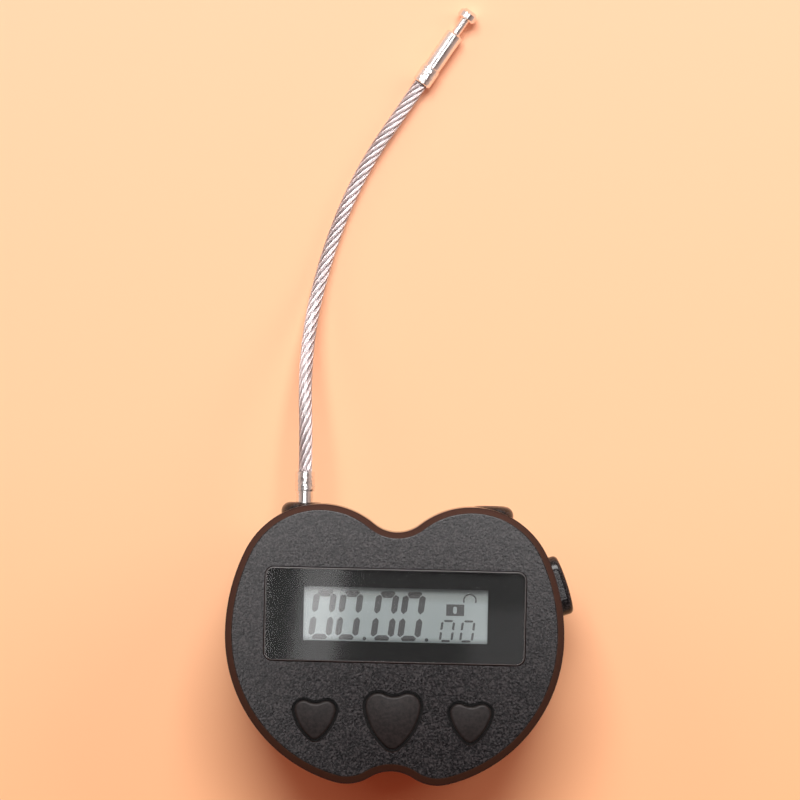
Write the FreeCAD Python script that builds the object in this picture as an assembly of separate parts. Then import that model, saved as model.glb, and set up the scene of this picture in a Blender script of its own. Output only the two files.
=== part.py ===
"""Timer padlock: an apple-shaped case with a display, three heart buttons and a wire-rope shackle.

Millimetres. The case lies on its back. +Z points out of the display face, +Y towards the two
bosses that hold the shackle's ends and +X to the right of the display. The origin is on the
back face, under the middle of the outline.
"""
import FreeCAD, Part

import math
import os

V = FreeCAD.Vector
X_AXIS, Y_AXIS, Z_AXIS = V(1, 0, 0), V(0, 1, 0), V(0, 0, 1)

# ---------------------------------------------------------------- case
CASE_DEPTH = 25.0           # back face to display face
WALL = 2.0
FACE_WALL = 2.0             # thickness of the display face
BACK_WALL = 2.0
RIM = 1.36                  # width of the steep rim between the face and the side wall
RIM_DROP = 0.25             # the side wall stands this much lower than the face
RIM_DEPTH = 2.2
RIM_STEP = 0.13             # narrow ledge where the rim meets the side wall
FACE_EDGE = 0.2             # rounding of the face's edge
BACK_EDGE = 2.4             # rounding of the back edge
DRAFT = 1.5                 # how much narrower the rear shell is at the back, each side
LIP_HEIGHT = 1.1            # tongue of the front shell inside the rear shell's rim
LIP_GAP = 0.1
FIT_GAP = 0.05              # clearance of a piece that slides or turns in another
ROOT = 0.5                  # how far a post or rib reaches into the wall that carries it

# The face's outline: arcs of one right half, from the dip at the top to the notch at the
# bottom, each tangent to the next. The left half mirrors it.
WIDEST_Y = 1.62
UPPER_SIDE_R, LOWER_SIDE_R = 34.18, 26.69
LOBE_R, LOBE_X, LOBE_TOP_Y = 14.03, 13.9, 24.14
DIP_R = 8.06
FOOT_R, FOOT_X = 6.71, 8.37
NOTCH_R = 8.76

# ---------------------------------------------------------------- display
LENS_LENGTH, LENS_HEIGHT, LENS_T = 47.9, 17.2, 1.2
LENS_Y = 5.1
LENS_CORNER = 1.6
LENS_GAP = 0.12
LENS_EDGE = 0.15
MASK_T = 0.12
WINDOW_LENGTH, WINDOW_HEIGHT = 33.8, 9.9
WINDOW_X, WINDOW_Y = 0.1, 5.25
LEDGE, LEDGE_CORNER = 1.1, 0.8      # opening behind the lens, past the window
PANEL_MARGIN_X, PANEL_MARGIN_Y = 3.5, 3.2    # the panel reaches this far past its window
PANEL_T = 2.6
STRIP_T, STRIP_HEIGHT = 2.0, 2.0
STRIP_INSET = 0.4

# ---------------------------------------------------------------- buttons
NOTCH_TO_BUTTONS = 11.8     # from the notch up to the tops of the small hearts' apertures
BUTTON_PITCH = 14.25
SMALL_HALF_WIDTH, SMALL_HEIGHT = 4.35, 8.2
LARGE_HALF_WIDTH, LARGE_HEIGHT, LARGE_RISE = 5.63, 11.4, 1.65
BUTTON_GAP = 0.55           # groove between a cap and its aperture
BUTTON_RISE = 0.9           # cap above the face
CAP_CROWN_R = 24.0          # radius of a cap's domed top
CAP_ROUND = 0.5
FLANGE_T, FLANGE_LIP = 1.0, 0.5
STEM_R = 1.5
TRAVEL = 0.35
SWITCH_SIZE, SWITCH_T = 5.0, 1.7
PLUNGER_R, PLUNGER_PLAY = 1.2, 0.05
PLUNGER_SEAT = 0.5          # plunger inside the switch, beyond its travel
PLUNGER_SPARE = 0.25        # plunger above the switch when the button is down
SWITCH_CORNER = 0.5

# ---------------------------------------------------------------- boards
BOARD_T = 1.2
BOARD_GAP = 0.7             # board to wall
BOARD_CLEARANCE = 0.35      # board to the highest piece under it
CHIP_SIZE, CHIP_T, CHIP_CORNER = 8.0, 1.4, 0.4
CHIP_XY = (-12.0, -2.0)
CRYSTAL_R, CRYSTAL_LENGTH, CRYSTAL_XY = 0.95, 5.0, (-21.5, 0.0)
BOARD_SCREW_R, BOARD_SCREW_HEAD_R, BOARD_SCREW_HEAD_T = 0.7, 1.3, 0.7
BOARD_SCREW_DEPTH = 3.0
BOARD_POST_R, BOARD_POST_GAP = 1.8, 0.45
BOARD_SCREW_TOP_X = 18.0
BOARD_SCREW_LOW_X, BOARD_SCREW_LOW_Y = 21.6, -8.0

# ---------------------------------------------------------------- case screws
SIDE_SCREW_INSET, SIDE_SCREW_Y = 4.5, -1.5          # in from the case's widest place
FOOT_SCREW_STEP_X, FOOT_SCREW_STEP_Y = 1.15, 0.94   # from the foot arc's centre
TOP_SCREW_Y = 18.0
CASE_SCREW_R, CASE_SCREW_HEAD_R, CASE_SCREW_HEAD_T = 0.8, 1.5, 1.0
CASE_SCREW_BITE = 5.0       # thread in the front shell's post
CASE_POST_R = 2.1
SCREW_SINK = 2.5            # depth of the head's hole from the back face
SCREW_HOLE_GAP, SCREW_HEAD_GAP = 0.1, 0.2
SLOT_W, SLOT_DEPTH = 0.4, 0.4

# ---------------------------------------------------------------- top bosses
BOSS_X = 17.3
BOSS_R = 4.25
BOSS_END_Y, BOSS_START_Y = 25.35, 18.2
BOSS_ROUND = 1.7
COLLAR_Y, COLLAR_T, COLLAR_R = 18.9, 1.2, 3.5    # flange that each boss traps

# ---------------------------------------------------------------- shackle
ROPE_R = 1.25
FERRULE_SHANK_R, FERRULE_SLEEVE_R = 1.55, 1.8
FERRULE_FOOT_Y, FERRULE_NECK_Y, FERRULE_END_Y = 17.2, 27.35, 31.0
TIP_SLEEVE_R, TIP_SLEEVE_LENGTH = 1.8, 3.6
TIP_SHANK_R, TIP_SHANK_LENGTH = 1.65, 7.75
TIP_NECK_R, TIP_NECK_LENGTH = 0.85, 3.2
TIP_HEAD_R, TIP_HEAD_LENGTH = 1.78, 1.94
TIP_EDGE = 0.3
# The rope's way from the ferrule down to the table and along it, chosen by hand.
ROPE_ROUTE = (
    (-17.3, 31.0, 12.5),
    (-17.3, 38.0, 12.5),
    (-17.7, 45.2, 10.7),
    (-17.65, 52.3, 7.4),
    (-17.0, 59.3, 4.2),
    (-15.6, 66.5, 2.2),
    (-13.4, 74.5, 1.5),
    (-10.3, 82.8, 1.5),
    (-6.4, 90.6, 1.6),
    (-1.6, 97.9, 1.8),
    (2.58, 104.26, 1.8),
)

# ---------------------------------------------------------------- socket
BORE_R = 1.9
TUBE_R, TUBE_BODY_R = 2.6, 3.2
TUBE_FOOT_Y = 5.7
TUBE_STEP_GAP = 0.2         # tube's wide body to the boss
MOUTH_INSET = 0.2           # tube's mouth inside the boss's end
MOUTH_CHAMFER = 0.3
CHAMBER_R = 2.15
CHAMBER_STEP = 0.4          # from the terminal's neck, when it is home, to the chamber's step
PLUG_T, PLUG_FLANGE_T = 1.2, 0.8
EJECTOR_GAP = 0.08
EJECTOR_HEAD_T, EJECTOR_STEM_R, EJECTOR_LENGTH = 1.4, 0.8, 9.5
SPRING_WIRE_R, SPRING_R, SPRING_TURNS = 0.18, 1.4, 6
SPRING_GAP = 0.02           # at each end of the spring

# ---------------------------------------------------------------- bolt and gears
MODULE = 0.3
PRESSURE_ANGLE = math.radians(25.0)
ADDENDUM, DEDENDUM = 0.8, 1.05      # in modules
BACKLASH = 0.03
PINION_TEETH, WHEEL_TEETH = 10, 32
BOLT_TRAVEL = 3.0
BOLT_HEIGHT, BOLT_THICK = 2.3, 4.4
BOLT_TAIL_HEIGHT = 1.8
BOLT_TIP_GAP = 0.3          # between the bolt and the bore at rest
BOLT_SLOT_W, BOLT_SLOT_DEPTH = 2.0, 1.9
BOLT_WINDOW_GAP, BOLT_WINDOW_END = 0.1, 0.3     # the tube's window past the bolt
SOCKET_TO_GEAR = 10.8       # socket's axis to the gear's axle
TAIL_REACH = 10.0           # gear's axle to the bolt's far end
RACK_REACH, RACK_TEETH = 4.4, 8     # gear's axle to the rack's start
WHEEL_T, PINION_T = 1.4, 3.6
WHEEL_TO_BOLT = 0.65
HUB_WALL = 0.5
AXLE_R = 0.6
MOTOR_DIRECTION = math.radians(219.0)
MOTOR_R, MOTOR_LENGTH, MOTOR_WALL, MOTOR_CAP_T = 4.2, 6.8, 0.4, 0.8
MOTOR_GAP, MOTOR_EDGE = 0.4, 0.4    # motor above the wheel; rounding of its can
MOTOR_SHAFT_R, MOTOR_PINION_T = 0.4, 1.8
ARMATURE_R, ARMATURE_GAP = 3.3, 0.5

# ---------------------------------------------------------------- mechanism housing
HOUSING_T, HOUSING_CORNER = 1.4, 1.0
HOUSING_REACH = 12.1        # gear's axle to the housing's left end
HOUSING_TOP = 18.4
HOUSING_MARGIN = 1.2        # housing past the motor
HOUSING_GAP = 0.1           # housing to the socket's tube
HOUSING_WALL_GAP, GUIDE_WALL_GAP = 0.2, 0.1     # to the case
COVER_T = 1.2
WHEEL_GAP = 0.25            # between the wheel and the housing's floor
GUIDE_WALL = 0.7
TAIL_GUIDE_LENGTH, TAIL_GUIDE_GAP = 2.5, 1.2    # guide behind the rack
TIP_GUIDE_LENGTH, TIP_GUIDE_GAP = 1.9, 0.2      # guide beside the socket's tube
HOUSING_SCREW_STEPS = ((-10.1, -6.9), (5.6, -6.7), (-10.4, -1.3))    # from the gear's axle
HOUSING_SCREW_R, HOUSING_SCREW_HEAD_R, HOUSING_SCREW_HEAD_T = 0.6, 1.15, 0.7
HOUSING_SCREW_HOLE_GAP = 0.05
HOUSING_SCREW_FOOT = 1.2    # screws' ends above the back wall's inside
THREAD_END_GAP = 0.4
HOUSING_POST_R = 1.5

# ---------------------------------------------------------------- battery
BATTERY_LENGTH, BATTERY_WIDTH, BATTERY_T = 30.0, 18.0, 5.5
BATTERY_XY = (-3.0, -6.6)
BATTERY_ROUND = 1.2
RIB_T, RIB_HEIGHT, RIB_GAP = 0.8, 2.0, 0.1
RIB_HALF_END, RIB_HALF_SIDE = 5.0, 8.0      # half lengths of the ribs at its ends and sides
LEAD_R, LEAD_PITCH, LEAD_REACH = 0.45, 1.8, 2.4     # the battery's leads
PIN_R = 0.35                # pins that join motor and charging board to the main board
MOTOR_PIN_STEP, PORT_PIN_STEP, PORT_PIN_INSET = 2.0, 2.5, 0.8

# ---------------------------------------------------------------- charging port
PORT_ANGLE = math.radians(19.0)
PORT_PROUD, PORT_FACE_Y = 2.05, 11.4        # collar's end past the side wall, and its height
COLLAR_LENGTH, COLLAR_DEPTH = 11.2, 6.0     # stadium round the port
COLLAR_BEND_R = 36.0        # bend of its end, along the side wall
PORT_COLLAR_ROUND = 0.9
PORT_COLLAR_ROOT = 4.6      # collar's length, from its end into the case
PORT_W, PORT_H, PORT_LENGTH, PORT_WALL = 7.5, 2.6, 5.8, 0.3
PORT_RECESS = 1.0           # port's mouth behind the collar's end
PORT_BACK_T = 0.8           # closed back of the port's shell
MOUTH_MARGIN_W, MOUTH_MARGIN_H = 1.2, 1.0   # collar's opening past the port
TONGUE_W, TONGUE_T, TONGUE_RECESS, TONGUE_RISE = 4.0, 0.6, 0.8, 0.05
PORT_BOARD_W, PORT_BOARD_T, REST_INSET = 9.0, 1.0, 0.5
PORT_BOARD_FRONT, PORT_BOARD_BACK = 5.0, 8.5     # charging board's ends, behind the collar's end

# ---------------------------------------------------------------- derived places
LOBE_Y = LOBE_TOP_Y - LOBE_R
UPPER_SIDE_X = LOBE_X - math.sqrt((UPPER_SIDE_R - LOBE_R) ** 2 - (LOBE_Y - WIDEST_Y) ** 2)
HALF_WIDTH = UPPER_SIDE_X + UPPER_SIDE_R
LOWER_SIDE_X = HALF_WIDTH - LOWER_SIDE_R
FOOT_Y = WIDEST_Y - math.sqrt((LOWER_SIDE_R - FOOT_R) ** 2 - (FOOT_X - LOWER_SIDE_X) ** 2)
DIP_Y = LOBE_Y + math.sqrt((DIP_R + LOBE_R) ** 2 - LOBE_X ** 2)
NOTCH_Y = FOOT_Y - math.sqrt((NOTCH_R + FOOT_R) ** 2 - FOOT_X ** 2)
BUTTON_Y = NOTCH_Y + NOTCH_R + NOTCH_TO_BUTTONS
BEYOND = 2 * HALF_WIDTH     # farther out than any piece of the case

FACE_BACK_Z = CASE_DEPTH - FACE_WALL
LENS_BACK_Z = CASE_DEPTH - LENS_T
PANEL_BACK_Z = FACE_BACK_Z - PANEL_T
BOARD_FRONT_Z = PANEL_BACK_Z - STRIP_T
BOARD_BACK_Z = BOARD_FRONT_Z - BOARD_T

# The shells meet on the bosses' axes, and the highest piece there just clears the board.
COVER_RISE = BOLT_THICK / 2 + FIT_GAP
SCREW_TOP_RISE = COVER_RISE + COVER_T + HOUSING_SCREW_HEAD_T
MOTOR_TOP_RISE = MOTOR_GAP + MOTOR_LENGTH - WHEEL_TO_BOLT - BOLT_THICK / 2
PARTING_Z = BOARD_BACK_Z - BOARD_CLEARANCE - max(SCREW_TOP_RISE, MOTOR_TOP_RISE, BOSS_R)
COVER_Z = PARTING_Z + COVER_RISE
BOLT_Z = PARTING_Z - BOLT_THICK / 2
WHEEL_Z = BOLT_Z - WHEEL_TO_BOLT - WHEEL_T
HOUSING_Z = WHEEL_Z - WHEEL_GAP - HOUSING_T
MOTOR_Z = WHEEL_Z + WHEEL_T + MOTOR_GAP

MOUTH_Y = BOSS_END_Y - MOUTH_INSET
NECK_TOP_Y = MOUTH_Y - TIP_SHANK_LENGTH
NECK_LOW_Y = NECK_TOP_Y - TIP_NECK_LENGTH
CHAMBER_TOP_Y = NECK_LOW_Y - CHAMBER_STEP
EJECTOR_TOP_Y = CHAMBER_TOP_Y - FIT_GAP
PLUG_TOP_Y = TUBE_FOOT_Y + PLUG_T
BOLT_LOW_Y = (NECK_TOP_Y + NECK_LOW_Y - BOLT_HEIGHT) / 2
BOLT_TIP_X = BOSS_X - BORE_R - BOLT_TIP_GAP
RACK_PITCH_Y = BOLT_LOW_Y + ADDENDUM * MODULE
GEAR_X = BOSS_X - SOCKET_TO_GEAR
GEAR_Y = RACK_PITCH_Y - PINION_TEETH * MODULE / 2
RACK_START_X = GEAR_X - RACK_REACH
BOLT_TAIL_X = GEAR_X - TAIL_REACH
CENTRE_DISTANCE = (PINION_TEETH + WHEEL_TEETH) * MODULE / 2
MOTOR_X = GEAR_X + CENTRE_DISTANCE * math.cos(MOTOR_DIRECTION)
MOTOR_Y = GEAR_Y + CENTRE_DISTANCE * math.sin(MOTOR_DIRECTION)
HOUSING_LEFT = GEAR_X - HOUSING_REACH
HOUSING_RIGHT = BOSS_X - TUBE_BODY_R - HOUSING_GAP
HOUSING_SCREWS = [(GEAR_X + dx, GEAR_Y + dy) for dx, dy in HOUSING_SCREW_STEPS]
HOUSING_SCREW_LENGTH = COVER_Z + COVER_T - BACK_WALL - HOUSING_SCREW_FOOT

PANEL_HALF_LENGTH = WINDOW_LENGTH / 2 + PANEL_MARGIN_X
PANEL_HALF_HEIGHT = WINDOW_HEIGHT / 2 + PANEL_MARGIN_Y
BOARD_SCREW_TOP_Y = WINDOW_Y + PANEL_HALF_HEIGHT + BOARD_POST_GAP + BOARD_POST_R
BOARD_SCREWS = [(side * x, y) for side in (-1, 1)
                for x, y in ((BOARD_SCREW_TOP_X, BOARD_SCREW_TOP_Y),
                             (BOARD_SCREW_LOW_X, BOARD_SCREW_LOW_Y))]
TOP_SCREW_X = (HOUSING_LEFT - BOSS_X + COLLAR_R) / 2     # between the left boss and the housing
CASE_SCREWS = [(side * x, y) for side in (-1, 1)
               for x, y in ((HALF_WIDTH - SIDE_SCREW_INSET, SIDE_SCREW_Y),
                            (FOOT_X - FOOT_SCREW_STEP_X, FOOT_Y - FOOT_SCREW_STEP_Y))]
CASE_SCREWS.append((TOP_SCREW_X, TOP_SCREW_Y))
PORT_RISE = PORT_FACE_Y + RIM_DROP - WIDEST_Y
PORT_SIDE_X = UPPER_SIDE_X + math.sqrt((UPPER_SIDE_R + RIM) ** 2 - PORT_RISE ** 2)
PORT_FACE_X = PORT_SIDE_X + PORT_PROUD


# ================================================================ shape helpers
def box(low, high):
    """A box between two corners."""
    size = [b - a for a, b in zip(low, high)]
    return Part.makeBox(size[0], size[1], size[2], V(*low))


def rod(radius, start, end):
    """A cylinder from one point to another."""
    start, end = V(*start), V(*end)
    return Part.makeCylinder(radius, (end - start).Length, start, end - start)


def upright(radius, xy, low, high):
    """A cylinder along Z."""
    return rod(radius, (xy[0], xy[1], low), (xy[0], xy[1], high))


def fuse(shapes):
    """One solid out of several that touch."""
    shapes = list(shapes)
    return shapes[0].multiFuse(shapes[1:]).removeSplitter() if len(shapes) > 1 else shapes[0]


def cut(shape, tools):
    """A shape without the tools."""
    return shape.cut(Part.makeCompound(list(tools))) if tools else shape


def turned(profile, origin, axis, side):
    """Revolve (distance along the axis, radius) points about an axis; side is a radius's way."""
    points = [V(*origin) + axis * along + side * radius for along, radius in profile]
    face = Part.Face(Part.makePolygon(points + points[:1]))
    return face.revolve(V(*origin), axis, 360)


def edges_where(shape, test):
    """Edges whose every end and middle pass a test of their point."""
    found = []
    for edge in shape.Edges:
        first, last = edge.ParameterRange
        places = [edge.valueAt(first + (last - first) * part) for part in (0.0, 0.5, 1.0)]
        if all(test(place) for place in places):
            found.append(edge)
    return found


def at_height(z):
    """A test for edges that lie at one height."""
    return lambda place: abs(place.z - z) < 1e-4


def far_centre(first, first_r, second, second_r, pick):
    """Centre at given distances from two others; pick is +1 or -1 for its side."""
    dx, dy = second[0] - first[0], second[1] - first[1]
    gap = math.hypot(dx, dy)
    along = (gap * gap + first_r * first_r - second_r * second_r) / (2 * gap)
    across = math.sqrt(first_r * first_r - along * along)
    return (first[0] + (dx * along - pick * dy * across) / gap,
            first[1] + (dy * along + pick * dx * across) / gap)


def arc_loop(arcs, offset, z):
    """A closed wire of tangent arcs, symmetrical about X = 0.

    arcs are (x, y, radius, bulge) for the right half, from the top one on the axis to the
    bottom one on the axis. bulge is 1 outwards and -1 inwards. A positive offset grows it.
    """
    loop = arcs + [(-x, y, r, bulge) for x, y, r, bulge in reversed(arcs[1:-1])]
    normals = []
    for one, two in zip(loop, loop[1:] + loop[:1]):
        step = V(two[0] - one[0], two[1] - one[1], 0)
        normals.append(step * (1.0 / (one[3] * one[2] - two[3] * two[2])))
    edges = []
    for (x, y, r, bulge), before, after in zip(loop, normals[-1:] + normals[:-1], normals):
        middle = before + after
        middle.normalize()
        reach = bulge * r + offset
        edges.append(Part.Arc(*[V(x, y, z) + n * reach for n in (before, middle, after)]).toShape())
    return Part.Wire(edges)


def prism(wire, height):
    """A flat wire pushed up along Z."""
    return Part.Face(wire).extrude(Z_AXIS * height)


def rounded_plate(centre, length, width, corner, low, high):
    """A plate with round corners, flat along X and Y."""
    x, y = centre[0] - length / 2, centre[1] - width / 2
    plate = box((x, y, low), (x + length, y + width, high))
    corners = [edge for edge in plate.Edges
               if abs(edge.Vertexes[0].Z - edge.Vertexes[-1].Z) > (high - low) / 2]
    return plate.makeFillet(corner, corners)


# ================================================================ outlines
def heart_arcs(half_width, height, top_y):
    """Arcs of a heart that stands on its rounded tip."""
    lobe_r, dip_r = half_width * 0.52, half_width * 0.53
    tip_r, side_r = half_width * 0.4, half_width * 2.2
    lobe = (half_width - lobe_r, top_y - lobe_r)
    dip_y = lobe[1] + math.sqrt((lobe_r + dip_r) ** 2 - lobe[0] ** 2)
    tip_y = top_y - height + tip_r
    side = far_centre(lobe, side_r - lobe_r, (0.0, tip_y), side_r - tip_r, -1)
    return [(0.0, dip_y, dip_r, -1), lobe + (lobe_r, 1), side + (side_r, 1), (0.0, tip_y, tip_r, 1)]


CASE_ARCS = [(0.0, DIP_Y, DIP_R, -1), (LOBE_X, LOBE_Y, LOBE_R, 1),
             (UPPER_SIDE_X, WIDEST_Y, UPPER_SIDE_R, 1), (LOWER_SIDE_X, WIDEST_Y, LOWER_SIDE_R, 1),
             (FOOT_X, FOOT_Y, FOOT_R, 1), (0.0, NOTCH_Y, NOTCH_R, -1)]
SIDE_ARCS = [(x, y - RIM_DROP, r, bulge) for x, y, r, bulge in CASE_ARCS]
SMALL_HEART = heart_arcs(SMALL_HALF_WIDTH, SMALL_HEIGHT, BUTTON_Y)
LARGE_HEART = heart_arcs(LARGE_HALF_WIDTH, LARGE_HEIGHT, BUTTON_Y + LARGE_RISE)
BUTTONS = {"left": (-BUTTON_PITCH, SMALL_HEART), "centre": (0.0, LARGE_HEART),
           "right": (BUTTON_PITCH, SMALL_HEART)}


def draft_at(height):
    """How far the rear shell's side has drawn in at a height."""
    return DRAFT * max(0.0, PARTING_Z - height) / PARTING_Z


def inside(low, high, gap):
    """The case's hollow between two heights, drawn in by a gap."""
    offset = RIM - WALL - draft_at(low) - gap
    return prism(arc_loop(SIDE_ARCS, offset, low), high - low)


def heart(which, grow, low, high):
    """A prism of one button's heart, grown or shrunk."""
    x, arcs = BUTTONS[which]
    solid = prism(arc_loop(arcs, grow, low), high - low)
    solid.translate(V(x, 0, 0))
    return solid


def heart_middle(which):
    """Where a button's stem and switch stand."""
    x, arcs = BUTTONS[which]
    return (x, (arcs[1][1] + arcs[3][1]) / 2 + arcs[3][2])


# ================================================================ shells
def top_boss(side):
    """The round boss of a shackle end, along Y."""
    x = side * BOSS_X
    boss = rod(BOSS_R, (x, BOSS_START_Y, PARTING_Z), (x, BOSS_END_Y, PARTING_Z))
    rim = edges_where(boss, lambda place: abs(place.y - BOSS_END_Y) < 1e-4)
    return boss.makeFillet(BOSS_ROUND, rim)


def boss_hollow(side):
    """What a boss leaves free: the way through it and the groove for a collar."""
    x = side * BOSS_X
    bore = (TUBE_R if side > 0 else FERRULE_SHANK_R) + FIT_GAP
    way = rod(bore, (x, BOSS_START_Y - 1, PARTING_Z), (x, BOSS_END_Y + 1, PARTING_Z))
    groove = rod(COLLAR_R + FIT_GAP, (x, COLLAR_Y - FIT_GAP, PARTING_Z),
                 (x, COLLAR_Y + COLLAR_T + FIT_GAP, PARTING_Z))
    return way.fuse(groove)


def at_port(shape):
    """Move a shape from the port's own frame: its X points out of the port, from its mouth."""
    placed = shape.copy()
    placed.rotate(V(0, 0, 0), Z_AXIS, math.degrees(PORT_ANGLE))
    placed.translate(V(PORT_FACE_X, PORT_FACE_Y, PARTING_Z))
    return placed


def stadium(length, depth, low, high):
    """A bar along the port's X with half-round ends, length along Y and depth along Z."""
    half, r = (length - depth) / 2, depth / 2
    ends = [rod(r, (low, y, 0), (high, y, 0)) for y in (-half, half)]
    return fuse(ends + [box((low, -half, -r), (high, half, r))])


def port_collar():
    """The raised ring round the charging port."""
    bend = upright(COLLAR_BEND_R, (-COLLAR_BEND_R, 0), -COLLAR_DEPTH, COLLAR_DEPTH)
    collar = stadium(COLLAR_LENGTH, COLLAR_DEPTH, -PORT_COLLAR_ROOT, 1).common(bend)
    rim = edges_where(collar, lambda place: place.x > -PORT_COLLAR_ROUND)
    return at_port(collar.makeFillet(PORT_COLLAR_ROUND, rim))


def port_hollow():
    """The way through the collar."""
    mouth = stadium(PORT_W + MOUTH_MARGIN_W, PORT_H + MOUTH_MARGIN_H, -PORT_RECESS, FIT_GAP)
    way = stadium(PORT_W + 2 * FIT_GAP, PORT_H + 2 * FIT_GAP,
                  -PORT_RECESS - PORT_LENGTH - FIT_GAP, FIT_GAP)
    return at_port(mouth.fuse(way))


def front_screw_posts():
    """Posts behind the face for the case screws and the circuit board's screws."""
    case_posts = [upright(CASE_POST_R, xy, PARTING_Z, FACE_BACK_Z) for xy in CASE_SCREWS]
    board_posts = [upright(BOARD_POST_R, xy, BOARD_FRONT_Z, FACE_BACK_Z) for xy in BOARD_SCREWS]
    return case_posts + board_posts


def front_shell():
    """Face, steep rim and side wall down to the parting plane."""
    rim_z = CASE_DEPTH - RIM_DEPTH
    rim = Part.makeLoft([arc_loop(SIDE_ARCS, RIM - RIM_STEP, rim_z),
                         arc_loop(CASE_ARCS, FACE_EDGE / 2, CASE_DEPTH)], True, True)
    rim = rim.makeFillet(FACE_EDGE, edges_where(rim, at_height(CASE_DEPTH)))
    outer = fuse([prism(arc_loop(SIDE_ARCS, RIM, PARTING_Z), rim_z - PARTING_Z), rim])
    shell = outer.cut(inside(PARTING_Z - 1, FACE_BACK_Z, -draft_at(PARTING_Z - 1)))
    lip_outer = prism(arc_loop(SIDE_ARCS, RIM - WALL / 2 - LIP_GAP, PARTING_Z - LIP_HEIGHT),
                      LIP_HEIGHT + 1)
    lip = lip_outer.cut(prism(arc_loop(SIDE_ARCS, RIM - WALL, PARTING_Z - LIP_HEIGHT), LIP_HEIGHT + 1))
    bosses = [top_boss(1), top_boss(-1), port_collar()]
    upper = box((-BEYOND, -BEYOND, PARTING_Z), (BEYOND, BEYOND, CASE_DEPTH))
    upper_bosses = [boss.common(upper) for boss in bosses]
    lip = lip.cut(Part.makeCompound(bosses))
    shell = fuse([shell, lip] + upper_bosses + front_screw_posts())
    lens_seat = rounded_plate((0, LENS_Y), LENS_LENGTH + 2 * LENS_GAP, LENS_HEIGHT + 2 * LENS_GAP,
                              LENS_CORNER + LENS_GAP, LENS_BACK_Z - MASK_T, CASE_DEPTH + 1)
    light_way = rounded_plate((WINDOW_X, WINDOW_Y), WINDOW_LENGTH + 2 * LEDGE,
                              WINDOW_HEIGHT + 2 * LEDGE, LEDGE_CORNER, FACE_BACK_Z - 1, CASE_DEPTH)
    apertures = [heart(which, 0.0, FACE_BACK_Z - 1, CASE_DEPTH + 1) for which in BUTTONS]
    threads = [upright(CASE_SCREW_R, xy, PARTING_Z - 1, PARTING_Z + CASE_SCREW_BITE)
               for xy in CASE_SCREWS]
    threads += [upright(BOARD_SCREW_R, xy, BOARD_FRONT_Z - 1, BOARD_FRONT_Z + BOARD_SCREW_DEPTH)
                for xy in BOARD_SCREWS]
    hollows = [boss_hollow(1), boss_hollow(-1), port_hollow()]
    return cut(shell, [lens_seat, light_way] + apertures + threads + hollows)


def rear_body(offset, low):
    """The rear shell's drafted form from a height up to the parting plane."""
    foot = arc_loop(SIDE_ARCS, offset - draft_at(low), low)
    top = arc_loop(SIDE_ARCS, offset, PARTING_Z)
    return Part.makeLoft([foot, top], True, True)


def rear_shell():
    """Back, drafted side wall, screw tubes, standoffs and the battery's ribs."""
    outer = rear_body(RIM, 0.0)
    outer = outer.makeFillet(BACK_EDGE, edges_where(outer, at_height(0.0)))
    shell = outer.cut(rear_body(RIM - WALL, BACK_WALL))
    rebate = prism(arc_loop(SIDE_ARCS, RIM - WALL / 2, PARTING_Z - LIP_HEIGHT - LIP_GAP),
                   LIP_HEIGHT + 1)
    bosses = [top_boss(1), top_boss(-1), port_collar()]
    lower = box((-BEYOND, -BEYOND, 0), (BEYOND, BEYOND, PARTING_Z))
    tubes = [upright(CASE_POST_R, xy, ROOT, PARTING_Z) for xy in CASE_SCREWS]
    standoffs = [upright(HOUSING_POST_R, xy, BACK_WALL - ROOT, HOUSING_Z) for xy in HOUSING_SCREWS]
    shell = fuse([shell.cut(rebate)] + [boss.common(lower) for boss in bosses]
                 + tubes + standoffs + battery_ribs() + [port_board_rest()])
    heads = [upright(CASE_SCREW_HEAD_R + SCREW_HEAD_GAP, xy, -1, SCREW_SINK) for xy in CASE_SCREWS]
    shanks = [upright(CASE_SCREW_R + SCREW_HOLE_GAP, xy, -1, PARTING_Z + 1) for xy in CASE_SCREWS]
    thread_end = BACK_WALL + HOUSING_SCREW_FOOT - THREAD_END_GAP
    threads = [upright(HOUSING_SCREW_R, xy, thread_end, HOUSING_Z + 1) for xy in HOUSING_SCREWS]
    hollows = [boss_hollow(1), boss_hollow(-1), port_hollow()]
    return cut(shell, heads + shanks + threads + hollows)


def battery_ribs():
    """Low ribs round the battery on the back wall's inside."""
    x, y = BATTERY_XY
    low, high = BACK_WALL - ROOT, BACK_WALL + RIB_HEIGHT
    ribs = []
    for side in (-1, 1):
        inner = x + side * (BATTERY_LENGTH / 2 + RIB_GAP)
        left, right = sorted((inner, inner + side * RIB_T))
        ribs.append(box((left, y - RIB_HALF_END, low), (right, y + RIB_HALF_END, high)))
        inner = y + side * (BATTERY_WIDTH / 2 + RIB_GAP)
        foot, top = sorted((inner, inner + side * RIB_T))
        ribs.append(box((x - RIB_HALF_SIDE, foot, low), (x + RIB_HALF_SIDE, top, high)))
    return ribs


def port_board_rest():
    """The pedestal under the charging board."""
    top = -PORT_H / 2 - PORT_BOARD_T
    pedestal = box((-PORT_BOARD_BACK + REST_INSET, -PORT_BOARD_W / 4, BACK_WALL - ROOT - PARTING_Z),
                   (-PORT_BOARD_FRONT - REST_INSET, PORT_BOARD_W / 4, top))
    return at_port(pedestal)


# ================================================================ display
def display_lens():
    """Clear cover, flush with the face."""
    lens = rounded_plate((0, LENS_Y), LENS_LENGTH, LENS_HEIGHT, LENS_CORNER, LENS_BACK_Z, CASE_DEPTH)
    return lens.makeChamfer(LENS_EDGE, edges_where(lens, at_height(CASE_DEPTH)))


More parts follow.
